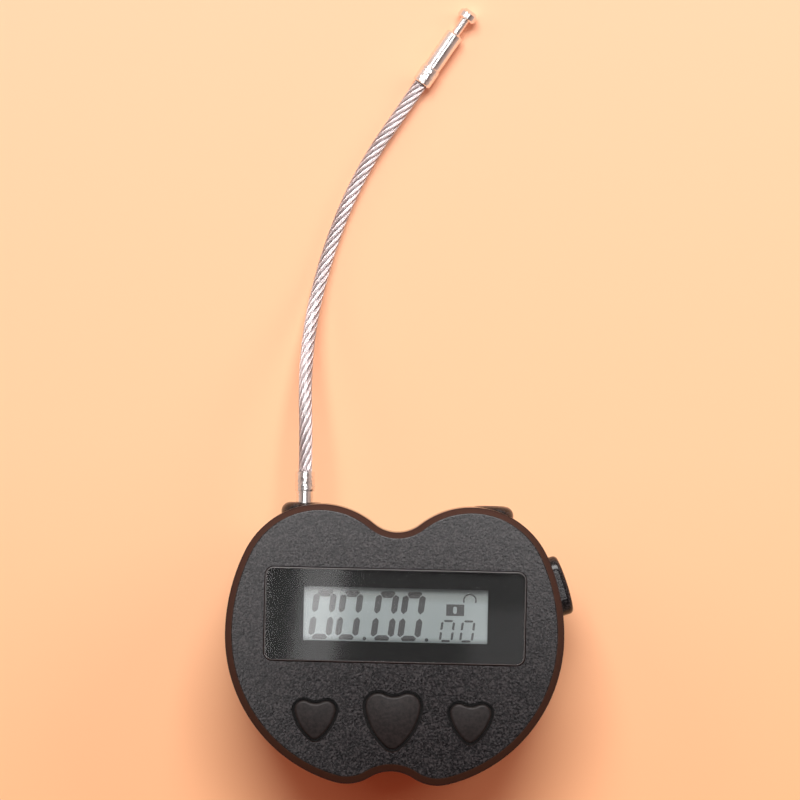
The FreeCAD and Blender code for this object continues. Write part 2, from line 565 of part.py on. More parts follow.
def lens_mask():
    """Black border printed on the lens's back, open at the window."""
    border = rounded_plate((0, LENS_Y), LENS_LENGTH, LENS_HEIGHT, LENS_CORNER,
                           LENS_BACK_Z - MASK_T, LENS_BACK_Z)
    x, y = WINDOW_X - WINDOW_LENGTH / 2, WINDOW_Y - WINDOW_HEIGHT / 2
    return border.cut(box((x, y, 0), (x + WINDOW_LENGTH, y + WINDOW_HEIGHT, CASE_DEPTH)))


def lcd_panel():
    """Glass panel against the face's inside."""
    return box((WINDOW_X - PANEL_HALF_LENGTH, WINDOW_Y - PANEL_HALF_HEIGHT, PANEL_BACK_Z),
               (WINDOW_X + PANEL_HALF_LENGTH, WINDOW_Y + PANEL_HALF_HEIGHT, FACE_BACK_Z))


def connector_strip(side):
    """Striped rubber that joins the panel's edge to the board."""
    edge = WINDOW_Y + side * (PANEL_HALF_HEIGHT - STRIP_INSET)
    foot, top = sorted((edge, edge - side * STRIP_HEIGHT))
    half = PANEL_HALF_LENGTH - STRIP_INSET
    return box((WINDOW_X - half, foot, BOARD_FRONT_Z), (WINDOW_X + half, top, PANEL_BACK_Z))


# ================================================================ buttons
def button_cap(which):
    """Heart cap with its flange behind the face and its stem."""
    top = CASE_DEPTH + BUTTON_RISE
    x, y = heart_middle(which)
    dome = Part.makeSphere(CAP_CROWN_R, V(x, y, top - CAP_CROWN_R))
    cap = heart(which, -BUTTON_GAP, FACE_BACK_Z - FIT_GAP, top + 1).common(dome)
    cap = cap.makeFillet(CAP_ROUND, edges_where(cap, lambda place: place.z > CASE_DEPTH))
    flange = heart(which, FLANGE_LIP, FACE_BACK_Z - FIT_GAP - FLANGE_T, FACE_BACK_Z - FIT_GAP)
    stem = upright(STEM_R, heart_middle(which), plunger_top(), FACE_BACK_Z - 1)
    return fuse([cap, flange, stem])


def switch_top():
    """Height of a switch body's top."""
    return BOARD_FRONT_Z + SWITCH_T


def plunger_top():
    """Height where a stem rests on its switch's plunger."""
    return switch_top() + TRAVEL + PLUNGER_SPARE


def plunger_foot():
    """Height of a plunger's lower end at rest."""
    return switch_top() - PLUNGER_SEAT


def switch_body(which):
    """Switch body with the plunger's hole."""
    x, y = heart_middle(which)
    body = rounded_plate((x, y), SWITCH_SIZE, SWITCH_SIZE, SWITCH_CORNER, BOARD_FRONT_Z, switch_top())
    hole = upright(PLUNGER_R + PLUNGER_PLAY, (x, y), plunger_foot() - TRAVEL - FIT_GAP, CASE_DEPTH)
    return body.cut(hole)


def switch_plunger(which):
    """Plunger that the stem presses."""
    return upright(PLUNGER_R, heart_middle(which), plunger_foot(), plunger_top())


# ================================================================ boards
def circuit_board():
    """Main board, cut clear of the case posts."""
    board = inside(BOARD_BACK_Z, BOARD_FRONT_Z, BOARD_GAP)
    clear = [upright(CASE_POST_R + BOARD_GAP / 2, xy, BOARD_BACK_Z - 1, BOARD_FRONT_Z + 1)
             for xy in CASE_SCREWS]
    holes = [upright(BOARD_SCREW_R, xy, BOARD_BACK_Z - 1, BOARD_FRONT_Z + 1) for xy in BOARD_SCREWS]
    return cut(board, clear + holes)


def controller_chip():
    """Controller on the board's back."""
    return rounded_plate(CHIP_XY, CHIP_SIZE, CHIP_SIZE, CHIP_CORNER, BOARD_BACK_Z - CHIP_T, BOARD_BACK_Z)


def timing_crystal():
    """Watch crystal lying on the board's back."""
    x, y = CRYSTAL_XY
    z = BOARD_BACK_Z - CRYSTAL_R
    return rod(CRYSTAL_R, (x, y, z), (x, y + CRYSTAL_LENGTH, z))


def pan_screw(xy, head_face_z, length, r, head_r, head_t, way):
    """A slotted screw along Z; its head stands on the other side of way."""
    x, y = xy
    shank = upright(r, xy, *sorted((head_face_z, head_face_z + way * length)))
    head = upright(head_r, xy, *sorted((head_face_z, head_face_z - way * head_t)))
    top = head_face_z - way * head_t
    low, high = sorted((top, top + way * SLOT_DEPTH))
    slot = box((x - head_r, y - SLOT_W / 2, low), (x + head_r, y + SLOT_W / 2, high))
    return fuse([shank, head]).cut(slot)


def board_screws():
    """Screws that hold the main board to the face's posts."""
    return Part.makeCompound([
        pan_screw(xy, BOARD_BACK_Z, BOARD_T + BOARD_SCREW_DEPTH, BOARD_SCREW_R,
                  BOARD_SCREW_HEAD_R, BOARD_SCREW_HEAD_T, 1) for xy in BOARD_SCREWS])


def case_screws():
    """Screws from the back into the front shell."""
    length = PARTING_Z + CASE_SCREW_BITE - SCREW_SINK
    return Part.makeCompound([
        pan_screw(xy, SCREW_SINK, length, CASE_SCREW_R, CASE_SCREW_HEAD_R,
                  CASE_SCREW_HEAD_T, 1) for xy in CASE_SCREWS])


# ================================================================ shackle
def root_ferrule():
    """Crimped sleeve, shank and the collar that the left boss traps."""
    profile = [(FERRULE_FOOT_Y, 0), (FERRULE_FOOT_Y, FERRULE_SHANK_R), (COLLAR_Y, FERRULE_SHANK_R),
               (COLLAR_Y, COLLAR_R), (COLLAR_Y + COLLAR_T, COLLAR_R),
               (COLLAR_Y + COLLAR_T, FERRULE_SHANK_R), (FERRULE_NECK_Y, FERRULE_SHANK_R),
               (FERRULE_NECK_Y, FERRULE_SLEEVE_R), (FERRULE_END_Y, FERRULE_SLEEVE_R),
               (FERRULE_END_Y, 0)]
    return turned(profile, (-BOSS_X, 0, PARTING_Z), Y_AXIS, X_AXIS)


def rounded_path(route):
    """Straight runs joined by the largest tangent arcs that the runs allow."""
    points = [V(*point) for point in route]
    edges, place, radii = [], points[0], []
    for before, here, after in zip(points, points[1:], points[2:]):
        back, ahead = before - here, after - here
        trim = 0.45 * min(back.Length, ahead.Length)
        turn = math.pi - back.getAngle(ahead)
        radius = trim / math.tan(turn / 2)
        start, end = here + back * (trim / back.Length), here + ahead * (trim / ahead.Length)
        inward = back * (1 / back.Length) + ahead * (1 / ahead.Length)
        inward.normalize()
        middle = here + inward * (radius / math.cos(turn / 2) - radius)
        edges.append(Part.LineSegment(place, start).toShape())
        edges.append(Part.Arc(start, middle, end).toShape())
        place = end
        radii.append(radius)
    edges.append(Part.LineSegment(place, points[-1]).toShape())
    return Part.Wire(edges), radii


def tube_along(route, r):
    """A round tube along a route, with the route's length and arc radii."""
    path, radii = rounded_path(route)
    start = V(*route[0])
    ring = Part.Wire(Part.makeCircle(r, start, V(*route[1]) - start))
    return path.makePipeShell([ring], True, False), path.Length, radii


def wire_rope():
    """Coated rope as a plain round tube of its outer size."""
    rope, length, radii = tube_along(ROPE_ROUTE, ROPE_R)
    print("rope radii " + ", ".join("%.1f" % radius for radius in radii))
    print("rope length %.1f, volume %.1f, section times length %.1f"
          % (length, rope.Volume, math.pi * ROPE_R ** 2 * length))
    return rope


def tip_terminal():
    """Swaged end: sleeve, shank, neck and the round-edged head that the bolt catches."""
    ends, along = [], 0.0
    for length in (TIP_SLEEVE_LENGTH, TIP_SHANK_LENGTH, TIP_NECK_LENGTH, TIP_HEAD_LENGTH):
        along += length
        ends.append(along)
    edge = TIP_EDGE
    profile = [(0, 0), (0, TIP_SLEEVE_R - edge / 2), (edge / 2, TIP_SLEEVE_R),
               (ends[0] - edge / 2, TIP_SLEEVE_R), (ends[0], TIP_SHANK_R), (ends[1] - edge, TIP_SHANK_R),
               (ends[1], TIP_SHANK_R - edge), (ends[1], TIP_NECK_R), (ends[2], TIP_NECK_R),
               (ends[2], TIP_HEAD_R - edge), (ends[2] + edge, TIP_HEAD_R),
               (ends[3] - 2 * edge, TIP_HEAD_R), (ends[3], TIP_HEAD_R - 2 * edge), (ends[3], 0)]
    end, before = V(*ROPE_ROUTE[-1]), V(*ROPE_ROUTE[-2])
    axis = end - before
    axis.normalize()
    side = axis.cross(Z_AXIS)
    side.normalize()
    return turned(profile, tuple(end), axis, side)


# ================================================================ socket
def socket_tube():
    """Steel tube with the entry bore, a wider chamber for the ejector and the bolt's window."""
    step = BOSS_START_Y - TUBE_STEP_GAP
    profile = [(TUBE_FOOT_Y, CHAMBER_R), (TUBE_FOOT_Y, TUBE_BODY_R), (step, TUBE_BODY_R),
               (step, TUBE_R), (COLLAR_Y, TUBE_R), (COLLAR_Y, COLLAR_R),
               (COLLAR_Y + COLLAR_T, COLLAR_R), (COLLAR_Y + COLLAR_T, TUBE_R), (MOUTH_Y, TUBE_R),
               (MOUTH_Y, BORE_R + MOUTH_CHAMFER), (MOUTH_Y - MOUTH_CHAMFER, BORE_R),
               (CHAMBER_TOP_Y, BORE_R), (CHAMBER_TOP_Y, CHAMBER_R)]
    tube = turned(profile, (BOSS_X, 0, PARTING_Z), Y_AXIS, X_AXIS)
    reach, gap = BOLT_TIP_X + BOLT_TRAVEL + BOLT_WINDOW_END, BOLT_WINDOW_GAP
    window = box((BOSS_X - 2 * TUBE_BODY_R, BOLT_LOW_Y - gap, BOLT_Z - gap),
                 (reach, BOLT_LOW_Y + BOLT_HEIGHT + gap, BOLT_Z + BOLT_THICK + gap))
    return tube.cut(window)


def socket_plug():
    """Plug in the tube's foot that carries the spring and guides the ejector's stem."""
    profile = [(TUBE_FOOT_Y - PLUG_FLANGE_T, EJECTOR_STEM_R + EJECTOR_GAP),
               (TUBE_FOOT_Y - PLUG_FLANGE_T, TUBE_BODY_R), (TUBE_FOOT_Y, TUBE_BODY_R),
               (TUBE_FOOT_Y, CHAMBER_R), (PLUG_TOP_Y, CHAMBER_R),
               (PLUG_TOP_Y, EJECTOR_STEM_R + EJECTOR_GAP)]
    return turned(profile, (BOSS_X, 0, PARTING_Z), Y_AXIS, X_AXIS)


def ejector():
    """Plunger that pushes the tip out; it rests under the chamber's step."""
    shoulder = EJECTOR_TOP_Y - EJECTOR_HEAD_T
    profile = [(EJECTOR_TOP_Y - EJECTOR_LENGTH, 0), (EJECTOR_TOP_Y - EJECTOR_LENGTH, EJECTOR_STEM_R),
               (shoulder, EJECTOR_STEM_R), (shoulder, CHAMBER_R - EJECTOR_GAP),
               (EJECTOR_TOP_Y, CHAMBER_R - EJECTOR_GAP), (EJECTOR_TOP_Y, 0)]
    return turned(profile, (BOSS_X, 0, PARTING_Z), Y_AXIS, X_AXIS)


def ejector_spring():
    """Coil spring round the ejector's stem."""
    length = EJECTOR_TOP_Y - EJECTOR_HEAD_T - PLUG_TOP_Y - 2 * (SPRING_WIRE_R + SPRING_GAP)
    helix = Part.makeHelix(length / SPRING_TURNS, length, SPRING_R)
    ring = Part.Wire(Part.makeCircle(SPRING_WIRE_R, V(SPRING_R, 0, 0), Y_AXIS))
    coil = Part.Wire(helix.Edges).makePipeShell([ring], True, False)
    coil.rotate(V(0, 0, 0), X_AXIS, -90)
    coil.translate(V(BOSS_X, PLUG_TOP_Y + SPRING_WIRE_R + SPRING_GAP, PARTING_Z))
    return coil


# ================================================================ gears
def involute(base_r, r):
    """The angle by which an involute has turned at a radius."""
    ratio = max(1.0, r / base_r)
    return math.sqrt(ratio * ratio - 1) - math.acos(1 / ratio)


def gear(teeth, low, high, centre, first_tooth):
    """Spur gear with involute flanks; first_tooth is the angle of one tooth's middle."""
    pitch_r = teeth * MODULE / 2
    base_r = pitch_r * math.cos(PRESSURE_ANGLE)
    tip_r, root_r = pitch_r + ADDENDUM * MODULE, pitch_r - DEDENDUM * MODULE
    half = (math.pi * MODULE / 2 - BACKLASH) / (2 * pitch_r)
    flank = [(r, half + involute(base_r, pitch_r) - involute(base_r, r))
             for r in (root_r, (max(root_r, base_r) + pitch_r) / 2, pitch_r, tip_r)]
    points = []
    for tooth in range(teeth):
        middle = first_tooth + 2 * math.pi * tooth / teeth
        for r, spread in flank:
            points.append((r, middle - spread))
        for r, spread in reversed(flank):
            points.append((r, middle + spread))
    ring = [V(centre[0] + r * math.cos(a), centre[1] + r * math.sin(a), low) for r, a in points]
    return Part.Face(Part.makePolygon(ring + ring[:1])).extrude(Z_AXIS * (high - low))


def reduction_gear():
    """Large wheel on the motor's pinion, with the small pinion that drives the rack."""
    centre = (GEAR_X, GEAR_Y)
    wheel = gear(WHEEL_TEETH, WHEEL_Z, WHEEL_Z + WHEEL_T, centre, MOTOR_DIRECTION)
    pinion = gear(PINION_TEETH, WHEEL_Z + WHEEL_T, WHEEL_Z + WHEEL_T + PINION_T, centre, math.pi / 2)
    hub = upright(AXLE_R + HUB_WALL, centre, WHEEL_Z - WHEEL_GAP + FIT_GAP, WHEEL_Z)
    bore = upright(AXLE_R + FIT_GAP, centre, WHEEL_Z - 1, COVER_Z)
    return fuse([wheel, pinion, hub]).cut(bore)


def gear_axle():
    """Steel pin between the housing's floor and its cover."""
    return upright(AXLE_R, (GEAR_X, GEAR_Y), HOUSING_Z, COVER_Z + COVER_T)


def motor_pinion():
    """Brass pinion pressed on the motor's shaft."""
    low = WHEEL_Z - FIT_GAP
    gap = MOTOR_DIRECTION + math.pi + math.pi / PINION_TEETH
    teeth = gear(PINION_TEETH, low, low + MOTOR_PINION_T, (MOTOR_X, MOTOR_Y), gap)
    return teeth.cut(upright(MOTOR_SHAFT_R, (MOTOR_X, MOTOR_Y), low - 1, COVER_Z))


def motor_rotor():
    """Shaft and wound armature."""
    low, high = MOTOR_Z + MOTOR_WALL + ARMATURE_GAP, MOTOR_Z + MOTOR_LENGTH - MOTOR_CAP_T - ARMATURE_GAP
    shaft = upright(MOTOR_SHAFT_R, (MOTOR_X, MOTOR_Y), WHEEL_Z - FIT_GAP, high + ARMATURE_GAP / 2)
    return shaft.fuse(upright(ARMATURE_R, (MOTOR_X, MOTOR_Y), low, high))


def motor_can():
    """Drawn steel can, open at the top."""
    centre = (MOTOR_X, MOTOR_Y)
    can = upright(MOTOR_R, centre, MOTOR_Z, MOTOR_Z + MOTOR_LENGTH)
    can = can.makeFillet(MOTOR_EDGE, edges_where(can, at_height(MOTOR_Z)))
    hollow = upright(MOTOR_R - MOTOR_WALL, centre, MOTOR_Z + MOTOR_WALL, CASE_DEPTH)
    hole = upright(MOTOR_SHAFT_R + FIT_GAP, centre, MOTOR_Z - 1, CASE_DEPTH)
    return can.cut(hollow).cut(hole)


def motor_cap():
    """Plastic end cap in the can's open end."""
    high = MOTOR_Z + MOTOR_LENGTH
    return upright(MOTOR_R - MOTOR_WALL, (MOTOR_X, MOTOR_Y), high - MOTOR_CAP_T, high)


def lock_bolt():
    """Bolt with a forked tongue at the socket and a rack along its tail."""
    top = BOLT_LOW_Y + BOLT_HEIGHT
    tail_top = BOLT_LOW_Y + BOLT_TAIL_HEIGHT
    root_y = RACK_PITCH_Y + DEDENDUM * MODULE
    pitch = math.pi * MODULE
    rack_end = RACK_START_X + RACK_TEETH * pitch
    high = PARTING_Z + BOLT_THICK / 2
    body = fuse([box((BOLT_TAIL_X, BOLT_LOW_Y, BOLT_Z), (RACK_START_X, tail_top, high)),
                 box((RACK_START_X, root_y, BOLT_Z), (rack_end, tail_top, high)),
                 box((rack_end, BOLT_LOW_Y, BOLT_Z), (BOLT_TIP_X, top, high))])
    half = (pitch / 2 - BACKLASH) / 2
    slope = math.tan(PRESSURE_ANGLE)
    root_half = half + DEDENDUM * MODULE * slope
    tip_half = half - ADDENDUM * MODULE * slope
    first = GEAR_X - pitch * (math.floor((GEAR_X - RACK_START_X) / pitch) - 0.5)
    teeth = []
    for number in range(RACK_TEETH - 1):
        x = first + number * pitch
        corners = [V(x - root_half, root_y, BOLT_Z), V(x - tip_half, BOLT_LOW_Y, BOLT_Z),
                   V(x + tip_half, BOLT_LOW_Y, BOLT_Z), V(x + root_half, root_y, BOLT_Z)]
        tooth = Part.Face(Part.makePolygon(corners + corners[:1])).extrude(Z_AXIS * BOLT_THICK)
        teeth.append(tooth)
    half_slot = BOLT_SLOT_W / 2
    root_x = BOLT_TIP_X - BOLT_SLOT_DEPTH + half_slot
    fork = fuse([box((root_x, BOLT_LOW_Y - 1, PARTING_Z - half_slot),
                     (BOLT_TIP_X + 1, top + 1, PARTING_Z + half_slot)),
                 rod(half_slot, (root_x, BOLT_LOW_Y - 1, PARTING_Z), (root_x, top + 1, PARTING_Z))])
    return fuse([body] + teeth).cut(fork)


# ================================================================ mechanism housing
def housing_plate(low, high):
    """The housing's plan between two heights, inside the case."""
    foot = MOTOR_Y - MOTOR_R - HOUSING_MARGIN
    middle = ((HOUSING_LEFT + HOUSING_RIGHT) / 2, (HOUSING_TOP + foot) / 2)
    plate = rounded_plate(middle, HOUSING_RIGHT - HOUSING_LEFT, HOUSING_TOP - foot,
                          HOUSING_CORNER, low, high)
    return plate.common(inside(HOUSING_Z, COVER_Z + COVER_T, HOUSING_WALL_GAP))


def bolt_guide(x0, x1, height):
    """Channel for the bolt between two places along it: a floor and two cheeks."""
    low, high = BOLT_LOW_Y - FIT_GAP, BOLT_LOW_Y + height + FIT_GAP
    block = box((x0, low - GUIDE_WALL, HOUSING_Z + HOUSING_T / 2), (x1, high + GUIDE_WALL, COVER_Z))
    return block.cut(box((x0 - 1, low, BOLT_Z - FIT_GAP), (x1 + 1, high, COVER_Z + 1)))


def housing_screw_holes():
    """Clearance holes of the housing's screws."""
    return [upright(HOUSING_SCREW_R + HOUSING_SCREW_HOLE_GAP, xy, 0, CASE_DEPTH) for xy in HOUSING_SCREWS]


def lock_housing():
    """Floor plate with the bolt's two guides and the cover's posts."""
    floor = housing_plate(HOUSING_Z, HOUSING_Z + HOUSING_T)
    posts = [upright(HOUSING_POST_R, xy, HOUSING_Z, COVER_Z) for xy in HOUSING_SCREWS]
    tail_end = RACK_START_X - TAIL_GUIDE_GAP
    tip_end = BOSS_X - TUBE_BODY_R - TIP_GUIDE_GAP
    guides = [bolt_guide(tail_end - TAIL_GUIDE_LENGTH, tail_end, BOLT_TAIL_HEIGHT),
              bolt_guide(tip_end - TIP_GUIDE_LENGTH, tip_end, BOLT_HEIGHT)]
    guides = [guide.common(inside(HOUSING_Z, COVER_Z, GUIDE_WALL_GAP)) for guide in guides]
    holes = housing_screw_holes()
    holes.append(upright(AXLE_R, (GEAR_X, GEAR_Y), 0, CASE_DEPTH))
    return cut(fuse([floor] + posts + guides), holes)


def lock_cover():
    """Plate over the bolt that also holds the motor's can."""
    plate = housing_plate(COVER_Z, COVER_Z + COVER_T)
    axle = upright(AXLE_R, (GEAR_X, GEAR_Y), 0, CASE_DEPTH)
    motor = upright(MOTOR_R, (MOTOR_X, MOTOR_Y), 0, CASE_DEPTH)
    return cut(plate, housing_screw_holes() + [axle, motor])


def housing_screws():
    """Long screws through cover and housing into the rear shell's standoffs."""
    return Part.makeCompound([
        pan_screw(xy, COVER_Z + COVER_T, HOUSING_SCREW_LENGTH, HOUSING_SCREW_R,
                  HOUSING_SCREW_HEAD_R, HOUSING_SCREW_HEAD_T, -1) for xy in HOUSING_SCREWS])


# ================================================================ battery and port
def battery_cell():
    """Flat pouch cell on the back wall."""
    x, y = BATTERY_XY
    half_l, half_w = BATTERY_LENGTH / 2, BATTERY_WIDTH / 2
    cell = box((x - half_l, y - half_w, BACK_WALL), (x + half_l, y + half_w, BACK_WALL + BATTERY_T))
    along = [edge for edge in cell.Edges if abs(edge.Vertexes[0].X - edge.Vertexes[-1].X) > 1]
    return cell.makeFillet(BATTERY_ROUND, along)


def battery_lead(side):
    """Insulated lead from the cell's end up to the main board."""
    x, y = BATTERY_XY[0] + BATTERY_LENGTH / 2, BATTERY_XY[1] + side * LEAD_PITCH / 2
    z = BACK_WALL + BATTERY_T / 2
    route = [(x, y, z), (x + LEAD_REACH, y, z), (x + LEAD_REACH, y, BOARD_BACK_Z)]
    return tube_along(route, LEAD_R)[0]


def motor_pins():
    """The motor's two pins, soldered to the main board."""
    return Part.makeCompound([
        upright(PIN_R, (MOTOR_X + side * MOTOR_PIN_STEP / 2, MOTOR_Y), MOTOR_Z + MOTOR_LENGTH,
                BOARD_BACK_Z) for side in (-1, 1)])


def port_pins():
    """Two pins between the charging board and the main board."""
    x = -PORT_BOARD_BACK + PORT_PIN_INSET
    return Part.makeCompound([
        at_port(rod(PIN_R, (x, side * PORT_PIN_STEP / 2, -PORT_H / 2),
                    (x, side * PORT_PIN_STEP / 2, BOARD_BACK_Z - PARTING_Z))) for side in (-1, 1)])


def port_shell():
    """The charging port's folded metal shell."""
    outer = stadium(PORT_W, PORT_H, -PORT_RECESS - PORT_LENGTH, -PORT_RECESS)
    inner = stadium(PORT_W - 2 * PORT_WALL, PORT_H - 2 * PORT_WALL,
                    -PORT_RECESS - PORT_LENGTH + PORT_BACK_T, 0)
    return at_port(outer.cut(inner))


def port_tongue():
    """The contacts' plastic tongue in the port."""
    back, front = -PORT_RECESS - PORT_LENGTH + PORT_BACK_T, -PORT_RECESS - TONGUE_RECESS
    return at_port(box((back, -TONGUE_W / 2, TONGUE_RISE), (front, TONGUE_W / 2, TONGUE_RISE + TONGUE_T)))


def port_board():
    """Small charging board under the port."""
    return at_port(box((-PORT_BOARD_BACK, -PORT_BOARD_W / 2, -PORT_H / 2 - PORT_BOARD_T),
                       (-PORT_BOARD_FRONT, PORT_BOARD_W / 2, -PORT_H / 2)))


# ================================================================ nodes
def build():
    """Every piece by name."""
    pieces = {
        "front_shell": front_shell(), "rear_shell": rear_shell(), "display_lens": display_lens(),
        "lens_mask": lens_mask(), "lcd_panel": lcd_panel(), "connector_strip_top": connector_strip(1),
        "connector_strip_bottom": connector_strip(-1), "circuit_board": circuit_board(),
        "board_screws": board_screws(), "controller_chip": controller_chip(),
        "timing_crystal": timing_crystal(), "battery_cell": battery_cell(),
        "motor_can": motor_can(), "motor_cap": motor_cap(), "motor_rotor": motor_rotor(),
        "motor_pinion": motor_pinion(), "reduction_gear": reduction_gear(), "gear_axle": gear_axle(),
        "lock_bolt": lock_bolt(), "lock_housing": lock_housing(), "lock_cover": lock_cover(),
        "housing_screws": housing_screws(), "socket_tube": socket_tube(),
        "socket_plug": socket_plug(), "ejector": ejector(), "ejector_spring": ejector_spring(),
        "root_ferrule": root_ferrule(), "wire_rope": wire_rope(), "tip_terminal": tip_terminal(),
        "port_shell": port_shell(), "port_tongue": port_tongue(), "port_board": port_board(),
        "case_screws": case_screws(), "battery_lead_plus": battery_lead(1),
        "battery_lead_minus": battery_lead(-1), "motor_pins": motor_pins(),
        "port_pins": port_pins(),
    }
    for which in BUTTONS:
        pieces["button_" + which] = button_cap(which)
        pieces["switch_" + which] = switch_body(which)
        pieces["plunger_" + which] = switch_plunger(which)
    return pieces


def main():
    """Write one STEP file for each piece."""
    os.makedirs("parts", exist_ok=True)
    for name, shape in build().items():
        print("%-22s solids %d valid %s volume %.2f"
              % (name, len(shape.Solids), shape.isValid(), shape.Volume))
        shape.exportStep(os.path.join("parts", name + ".step"))


main()
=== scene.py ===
"""Looks of the timer padlock: camera, lamps, materials, display, spring and rope strands."""
import math

import bmesh
import bpy
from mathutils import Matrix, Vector


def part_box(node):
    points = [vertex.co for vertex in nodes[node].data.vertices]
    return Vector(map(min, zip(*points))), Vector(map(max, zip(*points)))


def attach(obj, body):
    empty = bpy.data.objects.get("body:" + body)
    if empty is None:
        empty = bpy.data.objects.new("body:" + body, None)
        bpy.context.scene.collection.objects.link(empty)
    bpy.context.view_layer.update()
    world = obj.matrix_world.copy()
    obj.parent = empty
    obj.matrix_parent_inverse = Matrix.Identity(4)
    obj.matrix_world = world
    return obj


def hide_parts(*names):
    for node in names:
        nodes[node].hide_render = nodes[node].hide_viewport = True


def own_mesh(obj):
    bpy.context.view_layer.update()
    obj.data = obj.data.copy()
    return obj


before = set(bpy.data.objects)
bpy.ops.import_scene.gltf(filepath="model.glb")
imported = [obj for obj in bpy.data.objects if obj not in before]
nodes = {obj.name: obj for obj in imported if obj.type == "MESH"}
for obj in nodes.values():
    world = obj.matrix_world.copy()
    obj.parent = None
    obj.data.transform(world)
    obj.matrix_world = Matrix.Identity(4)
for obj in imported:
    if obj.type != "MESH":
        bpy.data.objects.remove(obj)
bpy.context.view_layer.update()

MM = 0.001


# ---------------------------------------------------------------- camera
CAMERA_PLACE = (0.0, 0.0447, 0.9)
CAMERA_TURN = 1.31                  # degrees; the object stands a little askew in the frame
CAMERA_LENS, SENSOR_WIDTH = 215.0, 36.0
CLIP_START = 0.05


def aim_camera():
    """A camera that looks straight down."""
    data = bpy.data.cameras.new("view")
    data.sensor_width = SENSOR_WIDTH
    data.lens = CAMERA_LENS
    data.clip_start = CLIP_START
    camera = bpy.data.objects.new("view", data)
    camera.location = CAMERA_PLACE
    camera.rotation_euler = (0.0, 0.0, math.radians(CAMERA_TURN))
    bpy.context.scene.collection.objects.link(camera)
    bpy.context.scene.camera = camera


# ---------------------------------------------------------------- material helpers
# A Mix node's sockets share their names, so they go by number: A, B and the result.
MIX_SOCKETS = {"FLOAT": (2, 3, 0), "RGBA": (6, 7, 2)}
BROAD_SHARE = 12                    # how much coarser a finish's tone is than its grain
GLOSS_CHANGE = 0.15                 # how far a finish's roughness strays either way
NOISE_LOW, NOISE_HIGH = 0.3, 0.7    # most of a noise lies between these
PLAIN_STRENGTH = 0.6


def new_material(name, uniform):
    """A node material, its tree and its shader, whose uniform inputs are set."""
    material = bpy.data.materials.new(name)
    material.use_nodes = True
    tree = material.node_tree
    shader = tree.nodes["Principled BSDF"]
    for socket, value in uniform.items():
        shader.inputs[socket].default_value = value
    return material, tree, shader


def coordinate(tree, axis, space="Object"):
    """One axis of a coordinate, by default the object's own in metres."""
    place = tree.nodes.new("ShaderNodeTexCoord")
    split = tree.nodes.new("ShaderNodeSeparateXYZ")
    tree.links.new(place.outputs[space], split.inputs["Vector"])
    return split.outputs[axis]


def object_noise(tree, scale, detail=2.0, stretch=(1.0, 1.0, 1.0)):
    """Noise in the object's own coordinates, scale in cycles per metre."""
    place = tree.nodes.new("ShaderNodeTexCoord")
    mapping = tree.nodes.new("ShaderNodeMapping")
    mapping.inputs["Scale"].default_value = stretch
    noise = tree.nodes.new("ShaderNodeTexNoise")
    noise.inputs["Scale"].default_value = scale
    noise.inputs["Detail"].default_value = detail
    tree.links.new(place.outputs["Object"], mapping.inputs["Vector"])
    tree.links.new(mapping.outputs["Vector"], noise.inputs["Vector"])
    return noise.outputs["Fac"]


def ramp(tree, factor, stops):
    """A colour ramp over a factor; stops are (place, colour)."""
    node = tree.nodes.new("ShaderNodeValToRGB")
    while len(node.color_ramp.elements) < len(stops):
        node.color_ramp.elements.new(0.5)
    for element, (place, colour) in zip(node.color_ramp.elements, stops):
        element.position = place
        element.color = tuple(colour) + (1.0,)
    tree.links.new(factor, node.inputs["Fac"])
    return node.outputs["Color"]


def spread(tree, factor, low, high, source=(NOISE_LOW, NOISE_HIGH)):
    """A factor stretched from its source range to a range of values."""
    node = tree.nodes.new("ShaderNodeMapRange")
    node.inputs["From Min"].default_value, node.inputs["From Max"].default_value = source
    node.inputs["To Min"].default_value, node.inputs["To Max"].default_value = low, high
    tree.links.new(factor, node.inputs["Value"])
    return node.outputs["Result"]


def combine(tree, operation, one, two):
    """A Math node over two values."""
    node = tree.nodes.new("ShaderNodeMath")
    node.operation = operation
    tree.links.new(one, node.inputs[0])
    tree.links.new(two, node.inputs[1])
    return node.outputs["Value"]


def mix(tree, factor, one, two, kind="RGBA", blend="MIX"):
    """From one to two as a factor, a socket or a number, goes from 0 to 1."""
    node = tree.nodes.new("ShaderNodeMix")
    node.data_type = kind
    node.blend_type = blend
    if isinstance(factor, float):
        node.inputs["Factor"].default_value = factor
    else:
        tree.links.new(factor, node.inputs["Factor"])
    socket_one, socket_two, result = MIX_SOCKETS[kind]
    tree.links.new(one, node.inputs[socket_one])
    tree.links.new(two, node.inputs[socket_two])
    return node.outputs[result]


def add_bump(tree, shader, height, strength, distance):
    """Relief from a height, distance in metres."""
    bump = tree.nodes.new("ShaderNodeBump")
    bump.inputs["Strength"].default_value = strength
    bump.inputs["Distance"].default_value = distance
    tree.links.new(height, bump.inputs["Height"])
    tree.links.new(bump.outputs["Normal"], shader.inputs["Normal"])


